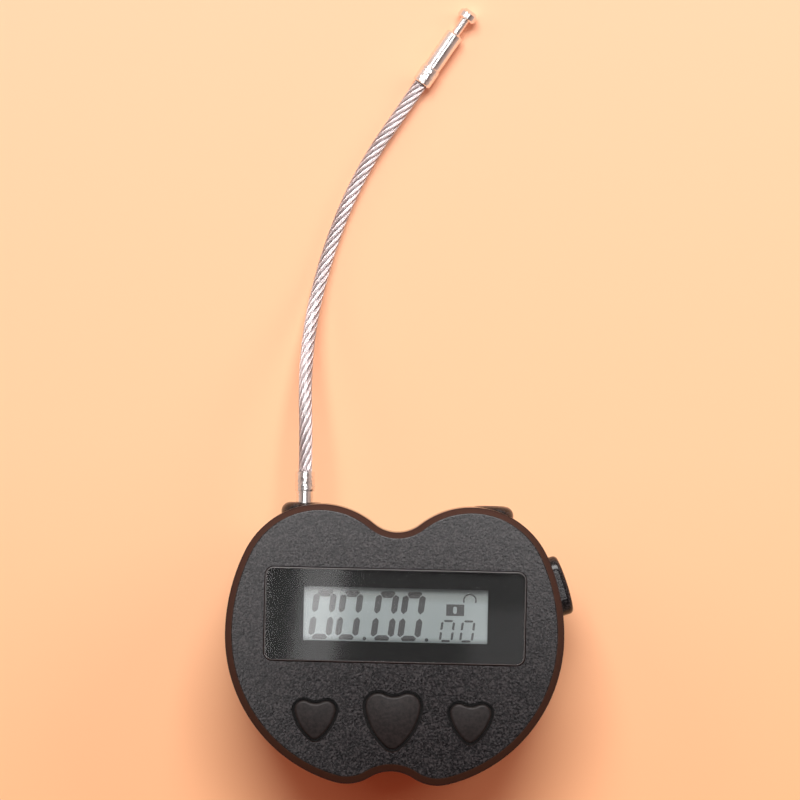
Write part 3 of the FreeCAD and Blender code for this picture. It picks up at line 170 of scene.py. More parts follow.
def plain(name, colour, roughness, metallic=0.0, variation=0.15, grain=900.0, relief=0.00001,
          stretch=(1.0, 1.0, 1.0), specular=0.5):
    """A moulded or metal finish with small changes of tone, gloss and relief.

    grain is in cycles per metre and relief in metres; variation is the change of tone.
    """
    material, tree, shader = new_material(
        name, {"Metallic": metallic, "Specular IOR Level": specular})
    fine = object_noise(tree, grain, 3.0, stretch)
    broad = object_noise(tree, grain / BROAD_SHARE, 2.0)
    tones = [(place, [c * share for c in colour])
             for place, share in ((NOISE_LOW, 1 - variation), (NOISE_HIGH, 1 + variation))]
    tree.links.new(ramp(tree, broad, tones), shader.inputs["Base Color"])
    gloss = spread(tree, fine, roughness * (1 - GLOSS_CHANGE), roughness * (1 + GLOSS_CHANGE))
    tree.links.new(gloss, shader.inputs["Roughness"])
    add_bump(tree, shader, fine, PLAIN_STRENGTH, relief)
    return material


def clear_material(name, colour, ior, scuffs, roughness):
    """Clear plastic; scuffs are the noise's scale, detail and stretch."""
    material, tree, shader = new_material(
        name, {"Base Color": colour + (1.0,), "Transmission Weight": 1.0, "IOR": ior})
    gloss = spread(tree, object_noise(tree, *scuffs), *roughness)
    tree.links.new(gloss, shader.inputs["Roughness"])
    # shadow rays pass straight through, so that lamps light what lies behind
    path = tree.nodes.new("ShaderNodeLightPath")
    clear = tree.nodes.new("ShaderNodeBsdfTransparent")
    either = tree.nodes.new("ShaderNodeMixShader")
    tree.links.new(path.outputs["Is Shadow Ray"], either.inputs["Fac"])
    tree.links.new(shader.outputs["BSDF"], either.inputs[1])
    tree.links.new(clear.outputs["BSDF"], either.inputs[2])
    tree.links.new(either.outputs["Shader"], tree.nodes["Material Output"].inputs["Surface"])
    return material


# ---------------------------------------------------------------- mesh helpers
CORNER_SHARE = 0.45                 # the most of a side that one rounded corner takes


def polar(x, y, r, angle):
    """The point at a distance and an angle from a centre."""
    return x + r * math.cos(angle), y + r * math.sin(angle)


def join_rings(bm, rings):
    """Quads between closed rings of vertices."""
    count = len(rings[0])
    for one, two in zip(rings, rings[1:]):
        for index in range(count):
            after = (index + 1) % count
            bm.faces.new((one[index], one[after], two[after], two[index]))


def mesh_object(name, bm, material, smooth=False):
    """A new object from a bmesh."""
    bmesh.ops.recalc_face_normals(bm, faces=bm.faces)
    mesh = bpy.data.meshes.new(name)
    bm.to_mesh(mesh)
    bm.free()
    mesh.materials.append(material)
    for face in mesh.polygons:
        face.use_smooth = smooth
    obj = bpy.data.objects.new(name, mesh)
    bpy.context.scene.collection.objects.link(obj)
    return obj


def rounded(points, radius, steps=3):
    """A closed outline with its corners rounded."""
    outline = []
    count = len(points)
    for index in range(count):
        before, here, after = (Vector(points[(index + step) % count]) for step in (-1, 0, 1))
        back, ahead = before - here, after - here
        reach = min(radius, back.length * CORNER_SHARE, ahead.length * CORNER_SHARE)
        start, end = here + back.normalized() * reach, here + ahead.normalized() * reach
        for step in range(steps + 1):
            t = step / steps
            outline.append((1 - t) ** 2 * start + 2 * t * (1 - t) * here + t * t * end)
    return outline


def add_plate(bm, outline, low, high):
    """A thin plate with vertical sides from an outline in millimetres."""
    foot = [bm.verts.new((p[0] * MM, p[1] * MM, low * MM)) for p in outline]
    top = [bm.verts.new((p[0] * MM, p[1] * MM, high * MM)) for p in outline]
    bm.faces.new(top)
    bm.faces.new(reversed(foot))
    join_rings(bm, (foot, top))


def frames_along(line):
    """Two directions across the line at each of its points, without twist."""
    tangents = [(b - a).normalized() for a, b in zip(line, line[1:])]
    tangents.append(tangents[-1])
    side = tangents[0].cross(Vector((0.0, 0.0, 1.0))).normalized()
    frames = []
    for tangent in tangents:
        side = (side - tangent * side.dot(tangent)).normalized()
        frames.append((side.copy(), side.cross(tangent).normalized()))
    return frames


def add_tube(bm, line, frames, r, sides):
    """A round tube along a line, with both ends closed."""
    turns = [2 * math.pi * i / sides for i in range(sides)]
    rings = [[bm.verts.new(place + (side * math.cos(a) + up * math.sin(a)) * r) for a in turns]
             for place, (side, up) in zip(line, frames)]
    join_rings(bm, rings)
    bm.faces.new(rings[-1])
    bm.faces.new(reversed(rings[0]))


# ---------------------------------------------------------------- case
# Heights in metres: the grain covers the flat face and the wall, and leaves out the rim between.
FACE_START, RIM_START = (0.02485, 0.02495), (0.0210, 0.0226)
FACE_TONES = ((0.36, (0.0035, 0.003, 0.0035)), (0.50, (0.0105, 0.010, 0.011)),
              (0.64, (0.036, 0.0345, 0.036)))
# The rim's tones are black plastic with a painted brown reflection of the peach table.
RIM_BLACK_AND_PAINTED_REFLECTION_TONES = ((0.3, (0.030, 0.013, 0.009)), (0.7, (0.041, 0.018, 0.013)))
BUTTON_TONES = ((0.35, (0.008, 0.007, 0.007)), (0.65, (0.018, 0.015, 0.015)))
FACE_ROUGHNESS, RIM_ROUGHNESS, BUTTON_ROUGHNESS = (0.08, 0.20), (0.82, 0.92), (0.42, 0.55)
FACE_RELIEF, BUTTON_RELIEF = (0.7, 0.00003), (0.5, 0.00005)     # strength, distance in metres
CASE_SPECULAR, BUTTON_SPECULAR = 0.3, 0.26
# Noises in cycles per metre.
FACE_GRAIN, FACE_SPECKLE, RIM_CLOUD = 2700.0, 2900.0, 60.0
BUTTON_GRAIN, BUTTON_SPECKLE = 3000.0, 1800.0


def case_material():
    """Black moulded plastic: spark-eroded grain on the flat face; smooth on the rim, with a
    painted brown reflection of the table.
    """
    material, tree, shader = new_material("case_plastic", {"Specular IOR Level": CASE_SPECULAR})
    height = coordinate(tree, "Z")
    grained = combine(tree, "MAXIMUM", spread(tree, height, 0.0, 1.0, FACE_START),
                      spread(tree, height, 1.0, 0.0, RIM_START))
    grain = object_noise(tree, FACE_GRAIN, 3.0)
    speckle = object_noise(tree, FACE_SPECKLE, 2.0)
    broad = object_noise(tree, RIM_CLOUD, 2.0)
    colour = mix(tree, grained, ramp(tree, broad, RIM_BLACK_AND_PAINTED_REFLECTION_TONES), ramp(tree, speckle, FACE_TONES))
    tree.links.new(colour, shader.inputs["Base Color"])
    gloss = mix(tree, grained, spread(tree, broad, *RIM_ROUGHNESS),
                spread(tree, grain, *FACE_ROUGHNESS), kind="FLOAT")
    tree.links.new(gloss, shader.inputs["Roughness"])
    add_bump(tree, shader, combine(tree, "MULTIPLY", grain, grained), *FACE_RELIEF)
    return material


def button_material():
    """Black rubber-like buttons, finer and darker than the face."""
    material, tree, shader = new_material(
        "button_rubber", {"Specular IOR Level": BUTTON_SPECULAR})
    grain = object_noise(tree, BUTTON_GRAIN, 3.0)
    tone = ramp(tree, object_noise(tree, BUTTON_SPECKLE, 3.0), BUTTON_TONES)
    tree.links.new(tone, shader.inputs["Base Color"])
    tree.links.new(spread(tree, grain, *BUTTON_ROUGHNESS), shader.inputs["Roughness"])
    add_bump(tree, shader, grain, *BUTTON_RELIEF)
    return material


# ---------------------------------------------------------------- display
# Places and sizes in millimetres; a segment's points are from its digit's centre.
LCD_Z = 23.0
SEGMENT_FOOT, SEGMENT_T = 0.005, 0.03
SLANT = 0.12
DIGITS = ((-13.3, 5.05), (-8.4, 5.07), (-1.87, 5.04), (3.04, 5.05))
SMALL_DIGITS = ((9.59, 2.5), (13.32, 2.5))
POINTS = ((-5.54, 0.8), (5.87, 0.8))
POINT_R, POINT_STEPS = 0.33, 20
BIG_SEGMENTS = (
    ((-2.12, 0.95), (-1.60, 0.34), (-0.98, 0.95), (-0.98, 3.45), (-1.42, 3.88), (-2.12, 3.50)),
    ((0.98, 0.95), (1.50, 0.34), (2.12, 0.95), (2.12, 3.50), (1.48, 3.88), (0.98, 3.45)),
    ((-2.12, -0.95), (-2.12, -3.50), (-1.60, -3.86), (-0.98, -3.35), (-0.98, -0.90),
     (-1.52, -0.34)),
    ((0.98, -0.90), (0.98, -3.35), (1.60, -3.86), (2.12, -3.50), (2.12, -0.95), (1.55, -0.34)),
    ((-1.42, -4.07), (-0.82, -3.56), (0.82, -3.56), (1.42, -4.07), (1.15, -4.54),
     (-1.15, -4.54)),
    ((-1.42, 4.10), (-1.05, 4.50), (1.05, 4.50), (1.42, 4.10), (0.78, 3.30), (-0.78, 3.30)),
)
SMALL_SEGMENTS = (
    ((-1.27, 0.22), (-1.05, 0.20), (-0.85, 0.36), (-0.85, 1.55), (-1.05, 1.68), (-1.27, 1.50)),
    ((0.85, 0.36), (1.05, 0.20), (1.27, 0.22), (1.27, 1.50), (1.05, 1.68), (0.85, 1.55)),
    ((-1.27, -0.22), (-1.27, -1.50), (-1.05, -1.66), (-0.85, -1.50), (-0.85, -0.34),
     (-1.05, -0.20)),
    ((0.85, -0.34), (0.85, -1.50), (1.05, -1.66), (1.27, -1.50), (1.27, -0.22), (1.05, -0.20)),
    ((-0.85, -1.82), (-0.62, -1.62), (0.62, -1.62), (0.85, -1.82), (0.70, -2.00),
     (-0.70, -2.00)),
    ((-0.85, 1.86), (-0.70, 2.05), (0.70, 2.05), (0.85, 1.86), (0.62, 1.66), (-0.62, 1.66)),
)
DIGIT_SETS = ((DIGITS, BIG_SEGMENTS, 0.16), (SMALL_DIGITS, SMALL_SEGMENTS, 0.08))
ICON_BODY = (11.01, 6.37, 1.64, 1.05)       # centre and half sizes of the open-padlock sign
KEYHOLE = (10.97, 6.42, 0.34, 0.28, 0.38)   # centre, radius of its ends, their rise and drop
KEYHOLE_STEPS = 6                           # in a quarter turn
ARC = (13.66, 8.2, 1.12, 0.13)              # centre, middle radius, half thickness
ARC_START, ARC_SWEEP, ARC_STEPS = -22, 224, 28      # degrees, degrees, steps

LCD_IOR, LCD_ROUGHNESS, LCD_CLOUD = 2.4, 0.06, 160.0
LCD_TONES = ((0.288, 0.325, 0.328), (0.306, 0.344, 0.347))
SEGMENT_TONES = ((0.078, 0.080, 0.082), (0.092, 0.093, 0.095))
# Painted shade: the window's border shades the cell's edges, painted as a soft dark border, wider
# along the top.
PAINTED_SHADE_SPAN = (0.0002, 0.0104)
PAINTED_SHADE_TONES = ((0.0, (0.45, 0.45, 0.45)), (0.10, (1.0, 1.0, 1.0)), (0.70, (1.0, 1.0, 1.0)),
              (0.86, (0.72, 0.70, 0.68)), (1.0, (0.12, 0.12, 0.12)))

LENS_CORNER = 1.6
LENS_CLEARANCE = 0.03               # between the printed border and the window's back
# Profiles as (inset, height): a foot's heights are over the lens's back, a top's over the floor.
WINDOW_FOOT, WINDOW_TOP = ((0.24, 0.0), (0.22, 0.03)), ((0.22, 24.97), (0.24, 25.0))
EDGE_FOOT = ((0.21, 0.0), (0.06, 0.0))
EDGE_TOP = ((0.06, 24.80), (0.10, 24.90), (0.20, 24.99), (0.21, 24.99))
FLAT_NORMAL = 0.99                  # a face this nearly level is shaded flat


def half_padlock(side):
    """The sign's body to the right (1) or left (-1) of its keyhole."""
    x, y, half_w, half_h = ICON_BODY
    kx, ky, r, rise, drop = KEYHOLE
    quarter = [math.pi / 2 * i / KEYHOLE_STEPS for i in range(KEYHOLE_STEPS + 1)]
    hole = [(kx + side * r * math.sin(a), ky + rise + r * math.cos(a)) for a in quarter]
    hole += [(kx + side * r * math.cos(a), ky - drop - r * math.sin(a)) for a in quarter]
    outer_x = x + side * half_w
    return hole + [(kx, y - half_h), (outer_x, y - half_h), (outer_x, y + half_h),
                   (kx, y + half_h)]


def display_segments(material):
    """Dark shapes of the liquid crystal: digits, points and the open-padlock sign."""
    outlines = [rounded([(x + u + SLANT * v, y + v) for u, v in segment], corner)
                for centres, segments, corner in DIGIT_SETS
                for x, y in centres for segment in segments]
    turns = [2 * math.pi * i / POINT_STEPS for i in range(POINT_STEPS)]
    outlines += [[polar(x, y, POINT_R, a) for a in turns] for x, y in POINTS]
    outlines += [half_padlock(-1), half_padlock(1)]
    x, y, r, half = ARC
    angles = [math.radians(ARC_START + ARC_SWEEP * i / ARC_STEPS) for i in range(ARC_STEPS + 1)]
    outlines.append([polar(x, y, r + half, a) for a in angles]
                    + [polar(x, y, r - half, a) for a in reversed(angles)])
    bm = bmesh.new()
    for outline in outlines:
        add_plate(bm, outline, LCD_Z + SEGMENT_FOOT, LCD_Z + SEGMENT_T)
    return mesh_object("display_segments", bm, material)


def lcd_material(name, low, high):
    """Polariser over the liquid crystal: grey-green, mirror-like, with painted shade at its edges.
    """
    material, tree, shader = new_material(name, {"IOR": LCD_IOR, "Roughness": LCD_ROUGHNESS})
    tone = ramp(tree, object_noise(tree, LCD_CLOUD, 3.0), [(0.35, low), (0.65, high)])
    # painted shade of the window's border, on the cell and its segments alike
    place = spread(tree, coordinate(tree, "Y"), 0.0, 1.0, PAINTED_SHADE_SPAN)
    shaded = mix(tree, 1.0, tone, ramp(tree, place, PAINTED_SHADE_TONES), blend="MULTIPLY")
    tree.links.new(shaded, shader.inputs["Base Color"])
    return material


def rounded_rectangle(length, height, corner, inset, centre_y, steps=8):
    """Outline of the lens, drawn in by an inset."""
    half_l, half_h, r = length / 2 - inset, height / 2 - inset, corner - inset
    outline = []
    for sx, sy, start in ((1, 1, 0.0), (-1, 1, 90.0), (-1, -1, 180.0), (1, -1, 270.0)):
        cx, cy = sx * (half_l - r), centre_y + sy * (half_h - r)
        outline += [polar(cx, cy, r, math.radians(start + 90.0 * step / steps))
                    for step in range(steps + 1)]
    return outline


def loft(bm, centre_y, size, back, foot, top):
    """Joined rings round the lens's outline, from its foot's profile to its top's."""
    rings = []
    for inset, z in [(inset, back + rise) for inset, rise in foot] + list(top):
        outline = rounded_rectangle(size[0], size[1], LENS_CORNER, inset, centre_y)
        rings.append([bm.verts.new((x * MM, y * MM, z * MM)) for x, y in outline])
    join_rings(bm, rings)
    return rings


def lens_pieces(clear, frosted):
    """Acrylic window, its back just clear of the printed border, and its milled edge."""
    low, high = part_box("display_lens")
    centre_y = (low.y + high.y) / 2 / MM
    size = ((high.x - low.x) / MM, (high.y - low.y) / MM)
    back = low.z / MM + LENS_CLEARANCE
    bm = bmesh.new()
    rings = loft(bm, centre_y, size, back, WINDOW_FOOT, WINDOW_TOP)
    bm.faces.new(rings[-1])
    bm.faces.new(reversed(rings[0]))
    window = mesh_object("lens_window", bm, clear)
    bm = bmesh.new()
    rings = loft(bm, centre_y, size, back, EDGE_FOOT, EDGE_TOP)
    join_rings(bm, (rings[-1], rings[0]))
    edge = mesh_object("lens_edge", bm, frosted)
    for piece in (window, edge):
        for face in piece.data.polygons:
            face.use_smooth = abs(face.normal.z) < FLAT_NORMAL
    return window, edge


# ---------------------------------------------------------------- shackle
# The rope's route, as in the CAD source, in millimetres.
ROPE_ROUTE = (
    (-17.3, 31.0, 12.5),
    (-17.3, 38.0, 12.5),
    (-17.7, 45.2, 10.7),
    (-17.65, 52.3, 7.4),
    (-17.0, 59.3, 4.2),
    (-15.6, 66.5, 2.2),
    (-13.4, 74.5, 1.5),
    (-10.3, 82.8, 1.5),
    (-6.4, 90.6, 1.6),
    (-1.6, 97.9, 1.8),
    (2.58, 104.26, 1.8),
)
ROPE_R, ROPE_RESOLUTION = 1.25, 36
STRANDS, WIRES = 6, 6
STRAND_LAY = 12.4                   # one turn of a strand round the rope
WIRE_LAY = 5.6                      # one turn of a wire in its strand
STRAND_CIRCLE, WIRE_CIRCLE, WIRE_R, CORE_R = 0.74, 0.235, 0.118, 0.42
COAT_SIDES, WIRE_SIDES, CORE_SIDES = 24, 6, 10

FITTING_TONES = ((0.3, (0.76, 0.72, 0.71)), (0.7, (0.88, 0.85, 0.84)))
FITTING_ROUGHNESS, FITTING_GRAIN, FITTING_CLOUD = (0.18, 0.28), 900.0, 220.0
CRIMP_SCALE, CRIMP_RELIEF = 2000.0, (0.6, 0.00009)
CRIMP_FADE = 0.0003                 # over this length the marks come in at either end
ROOT_AXIS, ROOT_CRIMP = (0.0, 1.0, 0.0), (0.0274, 0.0310)
TIP_RUN, TIP_CRIMP_LENGTH = (4.18, 6.36, 0.0), 0.0036       # the rope's last run, in millimetres
# Painted light: the tip's plating is painted a little lighter than the root's, as a lit copy.
TIP_PAINTED_LIGHT = 1.06


def rope_line():
    """Points of the rope's smooth middle line, read from its NURBS spline."""
    curve = bpy.data.curves.new("rope_route", "CURVE")
    curve.dimensions = "3D"
    spline = curve.splines.new("NURBS")
    spline.points.add(len(ROPE_ROUTE) - 1)
    for point, place in zip(spline.points, ROPE_ROUTE):
        point.co = tuple(value * MM for value in place) + (1.0,)
    spline.order_u = 3
    spline.use_endpoint_u = True
    spline.resolution_u = ROPE_RESOLUTION
    carrier = bpy.data.objects.new("rope_route", curve)
    mesh = bpy.data.meshes.new_from_object(carrier)
    line = [vertex.co.copy() for vertex in mesh.vertices]
    bpy.data.objects.remove(carrier)
    bpy.data.meshes.remove(mesh)
    return line


def wire_line(line, frames, strand, wire):
    """Middle line of one wire of a strand; wire None is the strand's own middle."""
    places, along = [], 0.0
    for index, (place, (side, up)) in enumerate(zip(line, frames)):
        if index:
            along += (place - line[index - 1]).length / MM
        # a strand goes round the rope one way and its wires go round the strand the other way
        turn = 2 * math.pi * (strand / STRANDS - along / STRAND_LAY)
        radial = side * math.cos(turn) + up * math.sin(turn)
        around = up * math.cos(turn) - side * math.sin(turn)
        centre = place + radial * (STRAND_CIRCLE * MM)
        if wire is not None:
            twist = 2 * math.pi * (wire / WIRES + along / WIRE_LAY)
            offset = radial * math.cos(twist) + around * math.sin(twist)
            centre = centre + offset * (WIRE_CIRCLE * MM)
        places.append(centre)
    return places


def rope_pieces(line, coat_material, wire_material):
    """Clear coat and the steel strands in it."""
    frames = frames_along(line)
    bm = bmesh.new()
    add_tube(bm, line, frames, ROPE_R * MM, COAT_SIDES)
    coat = mesh_object("rope_coat", bm, coat_material, smooth=True)
    bm = bmesh.new()
    for strand in range(STRANDS):
        for wire in (None, *range(WIRES)):
            places = wire_line(line, frames, strand, wire)
            add_tube(bm, places, frames_along(places), WIRE_R * MM, WIRE_SIDES)
    add_tube(bm, line, frames, CORE_R * MM, CORE_SIDES)
    wires = mesh_object("rope_strands", bm, wire_material, smooth=True)
    return coat, wires


def fitting_material(name, crimp_low, crimp_high, axis, bright=1.0):
    """Nickel-plated brass with pressed crimp marks along part of its length.

    axis is the direction along the fitting; crimp_low and crimp_high are places along it, in
    metres; bright is a factor on its tones, painted light that makes a lit copy of the plating.
    """
    material, tree, shader = new_material(name, {"Metallic": 1.0})
    tones = [(place, [bright * c for c in colour]) for place, colour in FITTING_TONES]
    tone = ramp(tree, object_noise(tree, FITTING_CLOUD, 3.0), tones)
    tree.links.new(tone, shader.inputs["Base Color"])
    gloss = spread(tree, object_noise(tree, FITTING_GRAIN, 3.0), *FITTING_ROUGHNESS)
    tree.links.new(gloss, shader.inputs["Roughness"])
    place = tree.nodes.new("ShaderNodeTexCoord")
    along = tree.nodes.new("ShaderNodeVectorMath")
    along.operation = "DOT_PRODUCT"
    along.inputs[1].default_value = axis
    tree.links.new(place.outputs["Object"], along.inputs[0])
    distance = along.outputs["Value"]
    inside = combine(tree, "MULTIPLY",
                     spread(tree, distance, 0.0, 1.0, (crimp_low, crimp_low + CRIMP_FADE)),
                     spread(tree, distance, 1.0, 0.0, (crimp_high - CRIMP_FADE, crimp_high)))
    marks = tree.nodes.new("ShaderNodeTexVoronoi")
    marks.inputs["Scale"].default_value = CRIMP_SCALE
    tree.links.new(place.outputs["Object"], marks.inputs["Vector"])
    height = combine(tree, "MULTIPLY", marks.outputs["Distance"], inside)
    add_bump(tree, shader, height, *CRIMP_RELIEF)
    return material


# ---------------------------------------------------------------- stage
FLOOR_REACH = 1.5                   # metres, from the middle to each side
FLOOR_FALLOFF_SPAN = (-0.05, 0.14)          # from the bottom to the top of the picture
# Painted light: the table's peach is painted paler at the top and deeper at the bottom, as the
# light falls off.
FLOOR_PEACH_AND_PAINTED_FALLOFF = ((0.0, (0.98, 0.57, 0.30)), (0.45, (0.98, 0.585, 0.35)), (1.0, (0.97, 0.55, 0.36)))

SOFTBOX_PLACE, SOFTBOX_TARGET = (-0.03, 0.62, 0.76), (0.0, 0.03, 0.0)
SOFTBOX_SIZE, SOFTBOX_COLOUR = (0.75, 0.42), (1.0, 1.0, 0.99)
SOFTBOXES = (("softbox", 11.6, "EXCLUDE"), ("softbox_display", 10.4, "INCLUDE"))

# Small lamps over the padlock: name, place, size, radiance, turn in degrees.
OVERHEAD_LAMPS = (
    ("overhead_top", (0.012, 0.052, 0.50), (0.24, 0.10), 5.4, 0.0),
    ("overhead_left", (-0.073, -0.030, 0.50), (0.07, 0.06), 3.6, 0.0),
    ("overhead_right", (0.077, -0.020, 0.50), (0.07, 0.04), 2.8, 0.0),
    ("strip", (-0.0283, -0.03, 0.92), (0.0158, 0.16), 1.35, -5.0),
    ("strip_right", (0.044, -0.050, 0.92), (0.034, 0.036), 0.35, 0.0),
)
OVERHEAD_COLOUR = (1.0, 0.98, 0.98)
# Weak lamps at the sides of the table: name, place, power.
TABLE_LAMPS = (("table_right", (0.50, 0.33, 0.30), 1.15), ("table_left", (-0.50, 0.33, 0.30), 0.6))
TABLE_LAMP_SIZE, TABLE_LAMP_COLOUR = (0.35, 0.25), (1.0, 0.88, 0.80)

# Colours of the room by height: of its ambient light, and of what the camera, gloss and glass see.
AMBIENT_TONES = ((0.0, (0.40, 0.085, 0.055)), (0.80, (0.35, 0.08, 0.05)),
                 (0.92, (0.06, 0.05, 0.05)))
FAR_TONES = ((0.0, (0.95, 0.78, 0.62)), (0.12, (0.85, 0.64, 0.52)), (0.60, (0.72, 0.55, 0.49)),
             (0.84, (0.28, 0.23, 0.21)), (0.95, (0.02, 0.02, 0.02)))
NEAR_TONES = ((0.0, (0.95, 0.78, 0.62)), (0.12, (0.62, 0.44, 0.36)), (0.50, (0.42, 0.29, 0.25)),
              (0.92, (0.02, 0.02, 0.02)))
NEAR_TO_FAR = (-0.5, 0.3)           # the direction's Y, from the near side to the far one


def floor_piece():
    """Peach table that fills the view, with a painted falloff of the light: paler at the top,
    deeper at the bottom.
    """
    bm = bmesh.new()
    bmesh.ops.create_grid(bm, x_segments=2, y_segments=2, size=FLOOR_REACH)
    material, tree, shader = new_material(
        "floor_peach", {"Roughness": 0.8, "Specular IOR Level": 0.1})
    place = spread(tree, coordinate(tree, "Y"), 0.0, 1.0, FLOOR_FALLOFF_SPAN)
    tree.links.new(ramp(tree, place, FLOOR_PEACH_AND_PAINTED_FALLOFF), shader.inputs["Base Color"])
    floor = mesh_object("floor", bm, material)
    return floor


def area_lamp(name, place, target, size, power, colour):
    """A soft rectangular lamp that looks at a point."""
    data = bpy.data.lights.new(name, "AREA")
    data.shape = "RECTANGLE"
    data.size, data.size_y = size
    data.energy = power
    data.color = colour
    lamp = bpy.data.objects.new(name, data)
    lamp.location = place
    lamp.rotation_euler = (Vector(target) - Vector(place)).to_track_quat("-Z", "Y").to_euler()
    bpy.context.scene.collection.objects.link(lamp)
    return lamp


def light_only(lamp, pieces, state):
    """A lamp that lights these pieces alone (INCLUDE) or all but these (EXCLUDE)."""
    group = bpy.data.collections.new(lamp.name + "_receivers")
    for piece in pieces:
        group.objects.link(piece)
    for member in group.collection_objects:
        member.light_linking.link_state = state
    lamp.light_linking.receiver_collection = group


def key_lamps(display):
    """The softbox; the display isn't to mirror it, as a polarising filter sees to on a camera.

    The display has the same lamp to itself, out of sight of gloss and glass.
    """
    for name, power, state in SOFTBOXES:
        lamp = area_lamp(name, SOFTBOX_PLACE, SOFTBOX_TARGET, SOFTBOX_SIZE, power, SOFTBOX_COLOUR)
        lamp.visible_glossy = state == "EXCLUDE"
        lamp.visible_transmission = state == "EXCLUDE"
        light_only(lamp, display, state)


def light_stage(floor):
    """Small lamps over the padlock, kept off the table, and two weak ones for the table alone."""
    for name, place, size, radiance, turn in OVERHEAD_LAMPS:
        power = radiance * math.pi * size[0] * size[1]
        lamp = area_lamp(name, place, (place[0], place[1], 0.0), size, power, OVERHEAD_COLOUR)
        lamp.rotation_euler.rotate_axis("Z", math.radians(turn))
        light_only(lamp, [floor], "EXCLUDE")
    for name, place, power in TABLE_LAMPS:
        lamp = area_lamp(name, place, (0.0, 0.0, 0.0), TABLE_LAMP_SIZE, power, TABLE_LAMP_COLOUR)
        light_only(lamp, [floor], "INCLUDE")


def light_room():
    """Warm ambient light, and a paler room where the camera, gloss and glass look."""
    world = bpy.data.worlds.new("room")
    world.use_nodes = True
    tree = world.node_tree
    height = coordinate(tree, "Z", "Generated")
    ambient, near, far = (ramp(tree, height, tones)
                          for tones in (AMBIENT_TONES, NEAR_TONES, FAR_TONES))
    side = spread(tree, coordinate(tree, "Y", "Generated"), 0.0, 1.0, NEAR_TO_FAR)
    path = tree.nodes.new("ShaderNodeLightPath")
    looked = combine(tree, "MAXIMUM", path.outputs["Is Camera Ray"], path.outputs["Is Glossy Ray"])
    looked = combine(tree, "MAXIMUM", looked, path.outputs["Is Transmission Ray"])
    colour = mix(tree, looked, ambient, mix(tree, side, near, far))
    tree.links.new(colour, tree.nodes["Background"].inputs["Color"])
    bpy.context.scene.world = world


# ---------------------------------------------------------------- dressing
# Nodes with a plain finish: their names, the finish's name, colour, roughness and other settings.
FINISHES = (
    (("lens_mask",),
     "border_print", (0.017, 0.017, 0.017), 0.5, {"variation": 0.1, "specular": 0.0}),
    (("connector_strip_top", "connector_strip_bottom"),
     "connector_rubber", (0.65, 0.35, 0.40), 0.6, {"stretch": (8.0, 1.0, 1.0)}),
    (("circuit_board", "port_board"),
     "board_laminate", (0.015, 0.10, 0.035), 0.4, {"grain": 1500.0}),
    (("board_screws", "case_screws", "housing_screws", "gear_axle", "motor_can", "port_shell",
      "ejector", "socket_plug"),
     "plated_steel", (0.62, 0.62, 0.64), 0.28, {"metallic": 1.0, "grain": 1400.0}),
    (("socket_tube",),
     "turned_steel", (0.55, 0.55, 0.57), 0.24,
     {"metallic": 1.0, "grain": 1200.0, "stretch": (1.0, 8.0, 1.0)}),
    (("lock_bolt",),
     "ground_steel", (0.50, 0.50, 0.52), 0.30,
     {"metallic": 1.0, "grain": 1200.0, "stretch": (1.0, 8.0, 1.0)}),
    (("controller_chip", "port_tongue"), "black_resin", (0.02, 0.02, 0.022), 0.45, {}),
    (("timing_crystal",), "crystal_can", (0.75, 0.74, 0.72), 0.2, {"metallic": 1.0}),
    (("battery_cell",),
     "cell_pouch", (0.60, 0.61, 0.63), 0.32, {"metallic": 0.9, "grain": 500.0}),
    (("battery_lead_plus",), "lead_red", (0.50, 0.02, 0.02), 0.4, {}),
    (("battery_lead_minus",), "lead_black", (0.02, 0.02, 0.02), 0.4, {}),
    (("motor_cap", "lock_housing", "lock_cover"), "frame_plastic", (0.60, 0.60, 0.58), 0.5, {}),
    (("reduction_gear",), "gear_plastic", (0.78, 0.76, 0.70), 0.45, {}),
    (("motor_rotor",), "rotor_copper", (0.55, 0.25, 0.12), 0.4, {"metallic": 0.8}),
    (("motor_pinion", "motor_pins", "port_pins"),
     "brass", (0.75, 0.55, 0.25), 0.25, {"metallic": 1.0}),
    (("switch_left", "switch_centre", "switch_right"),
     "switch_body", (0.03, 0.03, 0.035), 0.5, {}),
    (("plunger_left", "plunger_centre", "plunger_right"),
     "plunger_plastic", (0.55, 0.53, 0.48), 0.5, {}),
)
# Clear plastics: colour, IOR, scuffs and roughness.
LENS_CLEAR = ((0.97, 0.98, 0.98), 1.46, (700.0, 5.0, (1.0, 6.0, 1.0)), (0.034, 0.046))
COAT_CLEAR = ((0.97, 0.95, 0.95), 1.30, (500.0, 3.0), (0.06, 0.16))

SPRING_WIRE_R, SPRING_TURNS = 0.18, 6
SPRING_STEPS, SPRING_SIDES = 28, 8          # steps in a turn, sides of the wire


def dress(names, material):
    """Give CAD nodes a material."""
    for name in names:
        mesh = nodes[name].data
        mesh.materials.clear()
        mesh.materials.append(material)


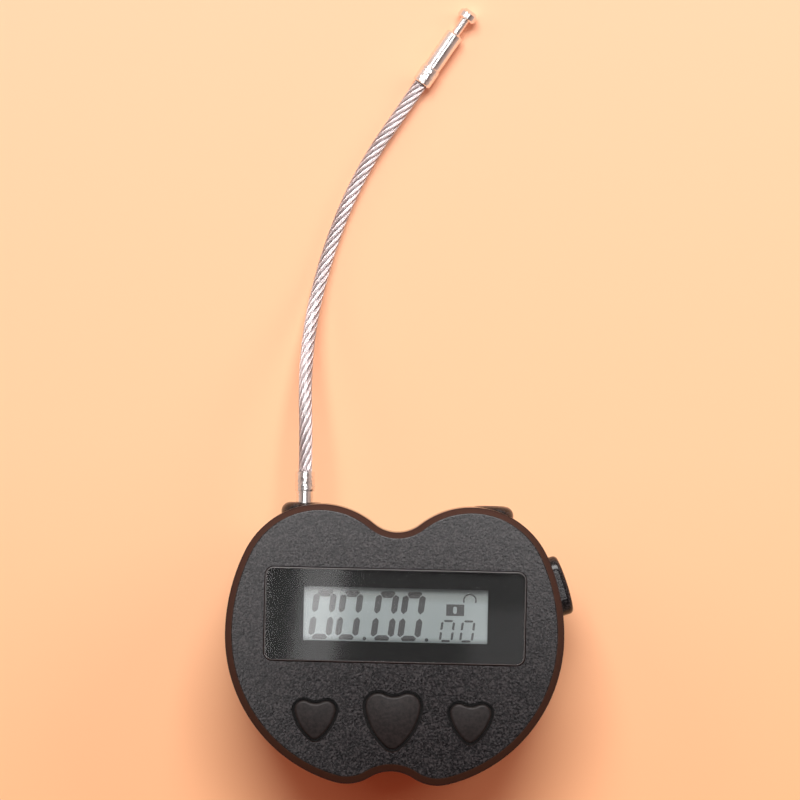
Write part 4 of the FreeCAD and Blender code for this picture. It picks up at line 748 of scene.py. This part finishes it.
def dress_nodes():
    """Materials of the CAD nodes that stay."""
    dress(["front_shell", "rear_shell"], case_material())
    dress(["button_left", "button_centre", "button_right"], button_material())
    dress(["lcd_panel"], lcd_material("lcd_front", *LCD_TONES))
    for names, finish, colour, roughness, settings in FINISHES:
        dress(names, plain(finish, colour, roughness, **settings))
    dress(["root_ferrule"], fitting_material("nickel_root", *ROOT_CRIMP, ROOT_AXIS))
    axis = Vector(TIP_RUN).normalized()
    start = axis.dot(Vector(ROPE_ROUTE[-1]) * MM)
    dress(["tip_terminal"],
          fitting_material("nickel_tip", start, start + TIP_CRIMP_LENGTH, axis, TIP_PAINTED_LIGHT))


def add_display():
    """Window and the liquid crystal's shapes."""
    segments = display_segments(lcd_material("lcd_segments", *SEGMENT_TONES))
    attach(segments, "case")
    frosted = plain("lens_milled_edge", (0.14, 0.14, 0.14), 0.45, grain=2500.0)
    window, edge = lens_pieces(clear_material("lens_acrylic", *LENS_CLEAR), frosted)
    for piece in (window, edge):
        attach(piece, "case")
        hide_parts("display_lens")
    key_lamps([segments, window, nodes["lcd_panel"]])


def add_spring():
    """The ejector's coil spring, drawn at one fixed length; in the lock it shortens as the ejector
    goes in.
    """
    low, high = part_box("ejector_spring")
    middle_x, middle_z = (low.x + high.x) / 2, (low.z + high.z) / 2
    r = (high.x - low.x) / 2 - SPRING_WIRE_R * MM
    start, end = low.y + SPRING_WIRE_R * MM, high.y - SPRING_WIRE_R * MM
    steps = SPRING_STEPS * SPRING_TURNS
    line = []
    for step in range(steps + 1):
        angle = 2 * math.pi * SPRING_TURNS * step / steps
        line.append(Vector((middle_x + r * math.cos(angle), start + (end - start) * step / steps,
                            middle_z - r * math.sin(angle))))
    bm = bmesh.new()
    add_tube(bm, line, frames_along(line), SPRING_WIRE_R * MM, SPRING_SIDES)
    spring = mesh_object("spring_coil", bm, nodes["ejector"].data.materials[0], smooth=True)
    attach(spring, "case")
    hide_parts("ejector_spring")
    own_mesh(spring)


def add_rope():
    """The shackle's rope: its clear coat and the steel strands in it."""
    line = rope_line()
    steel = plain("rope_steel", (0.59, 0.54, 0.55), 0.46, metallic=1.0, grain=2500.0,
                  relief=0.000004)
    coat, wires = rope_pieces(line, clear_material("rope_clear_coat", *COAT_CLEAR), steel)
    for piece in (coat, wires):
        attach(piece, "case")
    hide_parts("wire_rope")


bpy.context.scene.view_settings.view_transform = "Standard"
aim_camera()
light_stage(floor_piece())
light_room()
dress_nodes()
add_display()
add_spring()
add_rope()
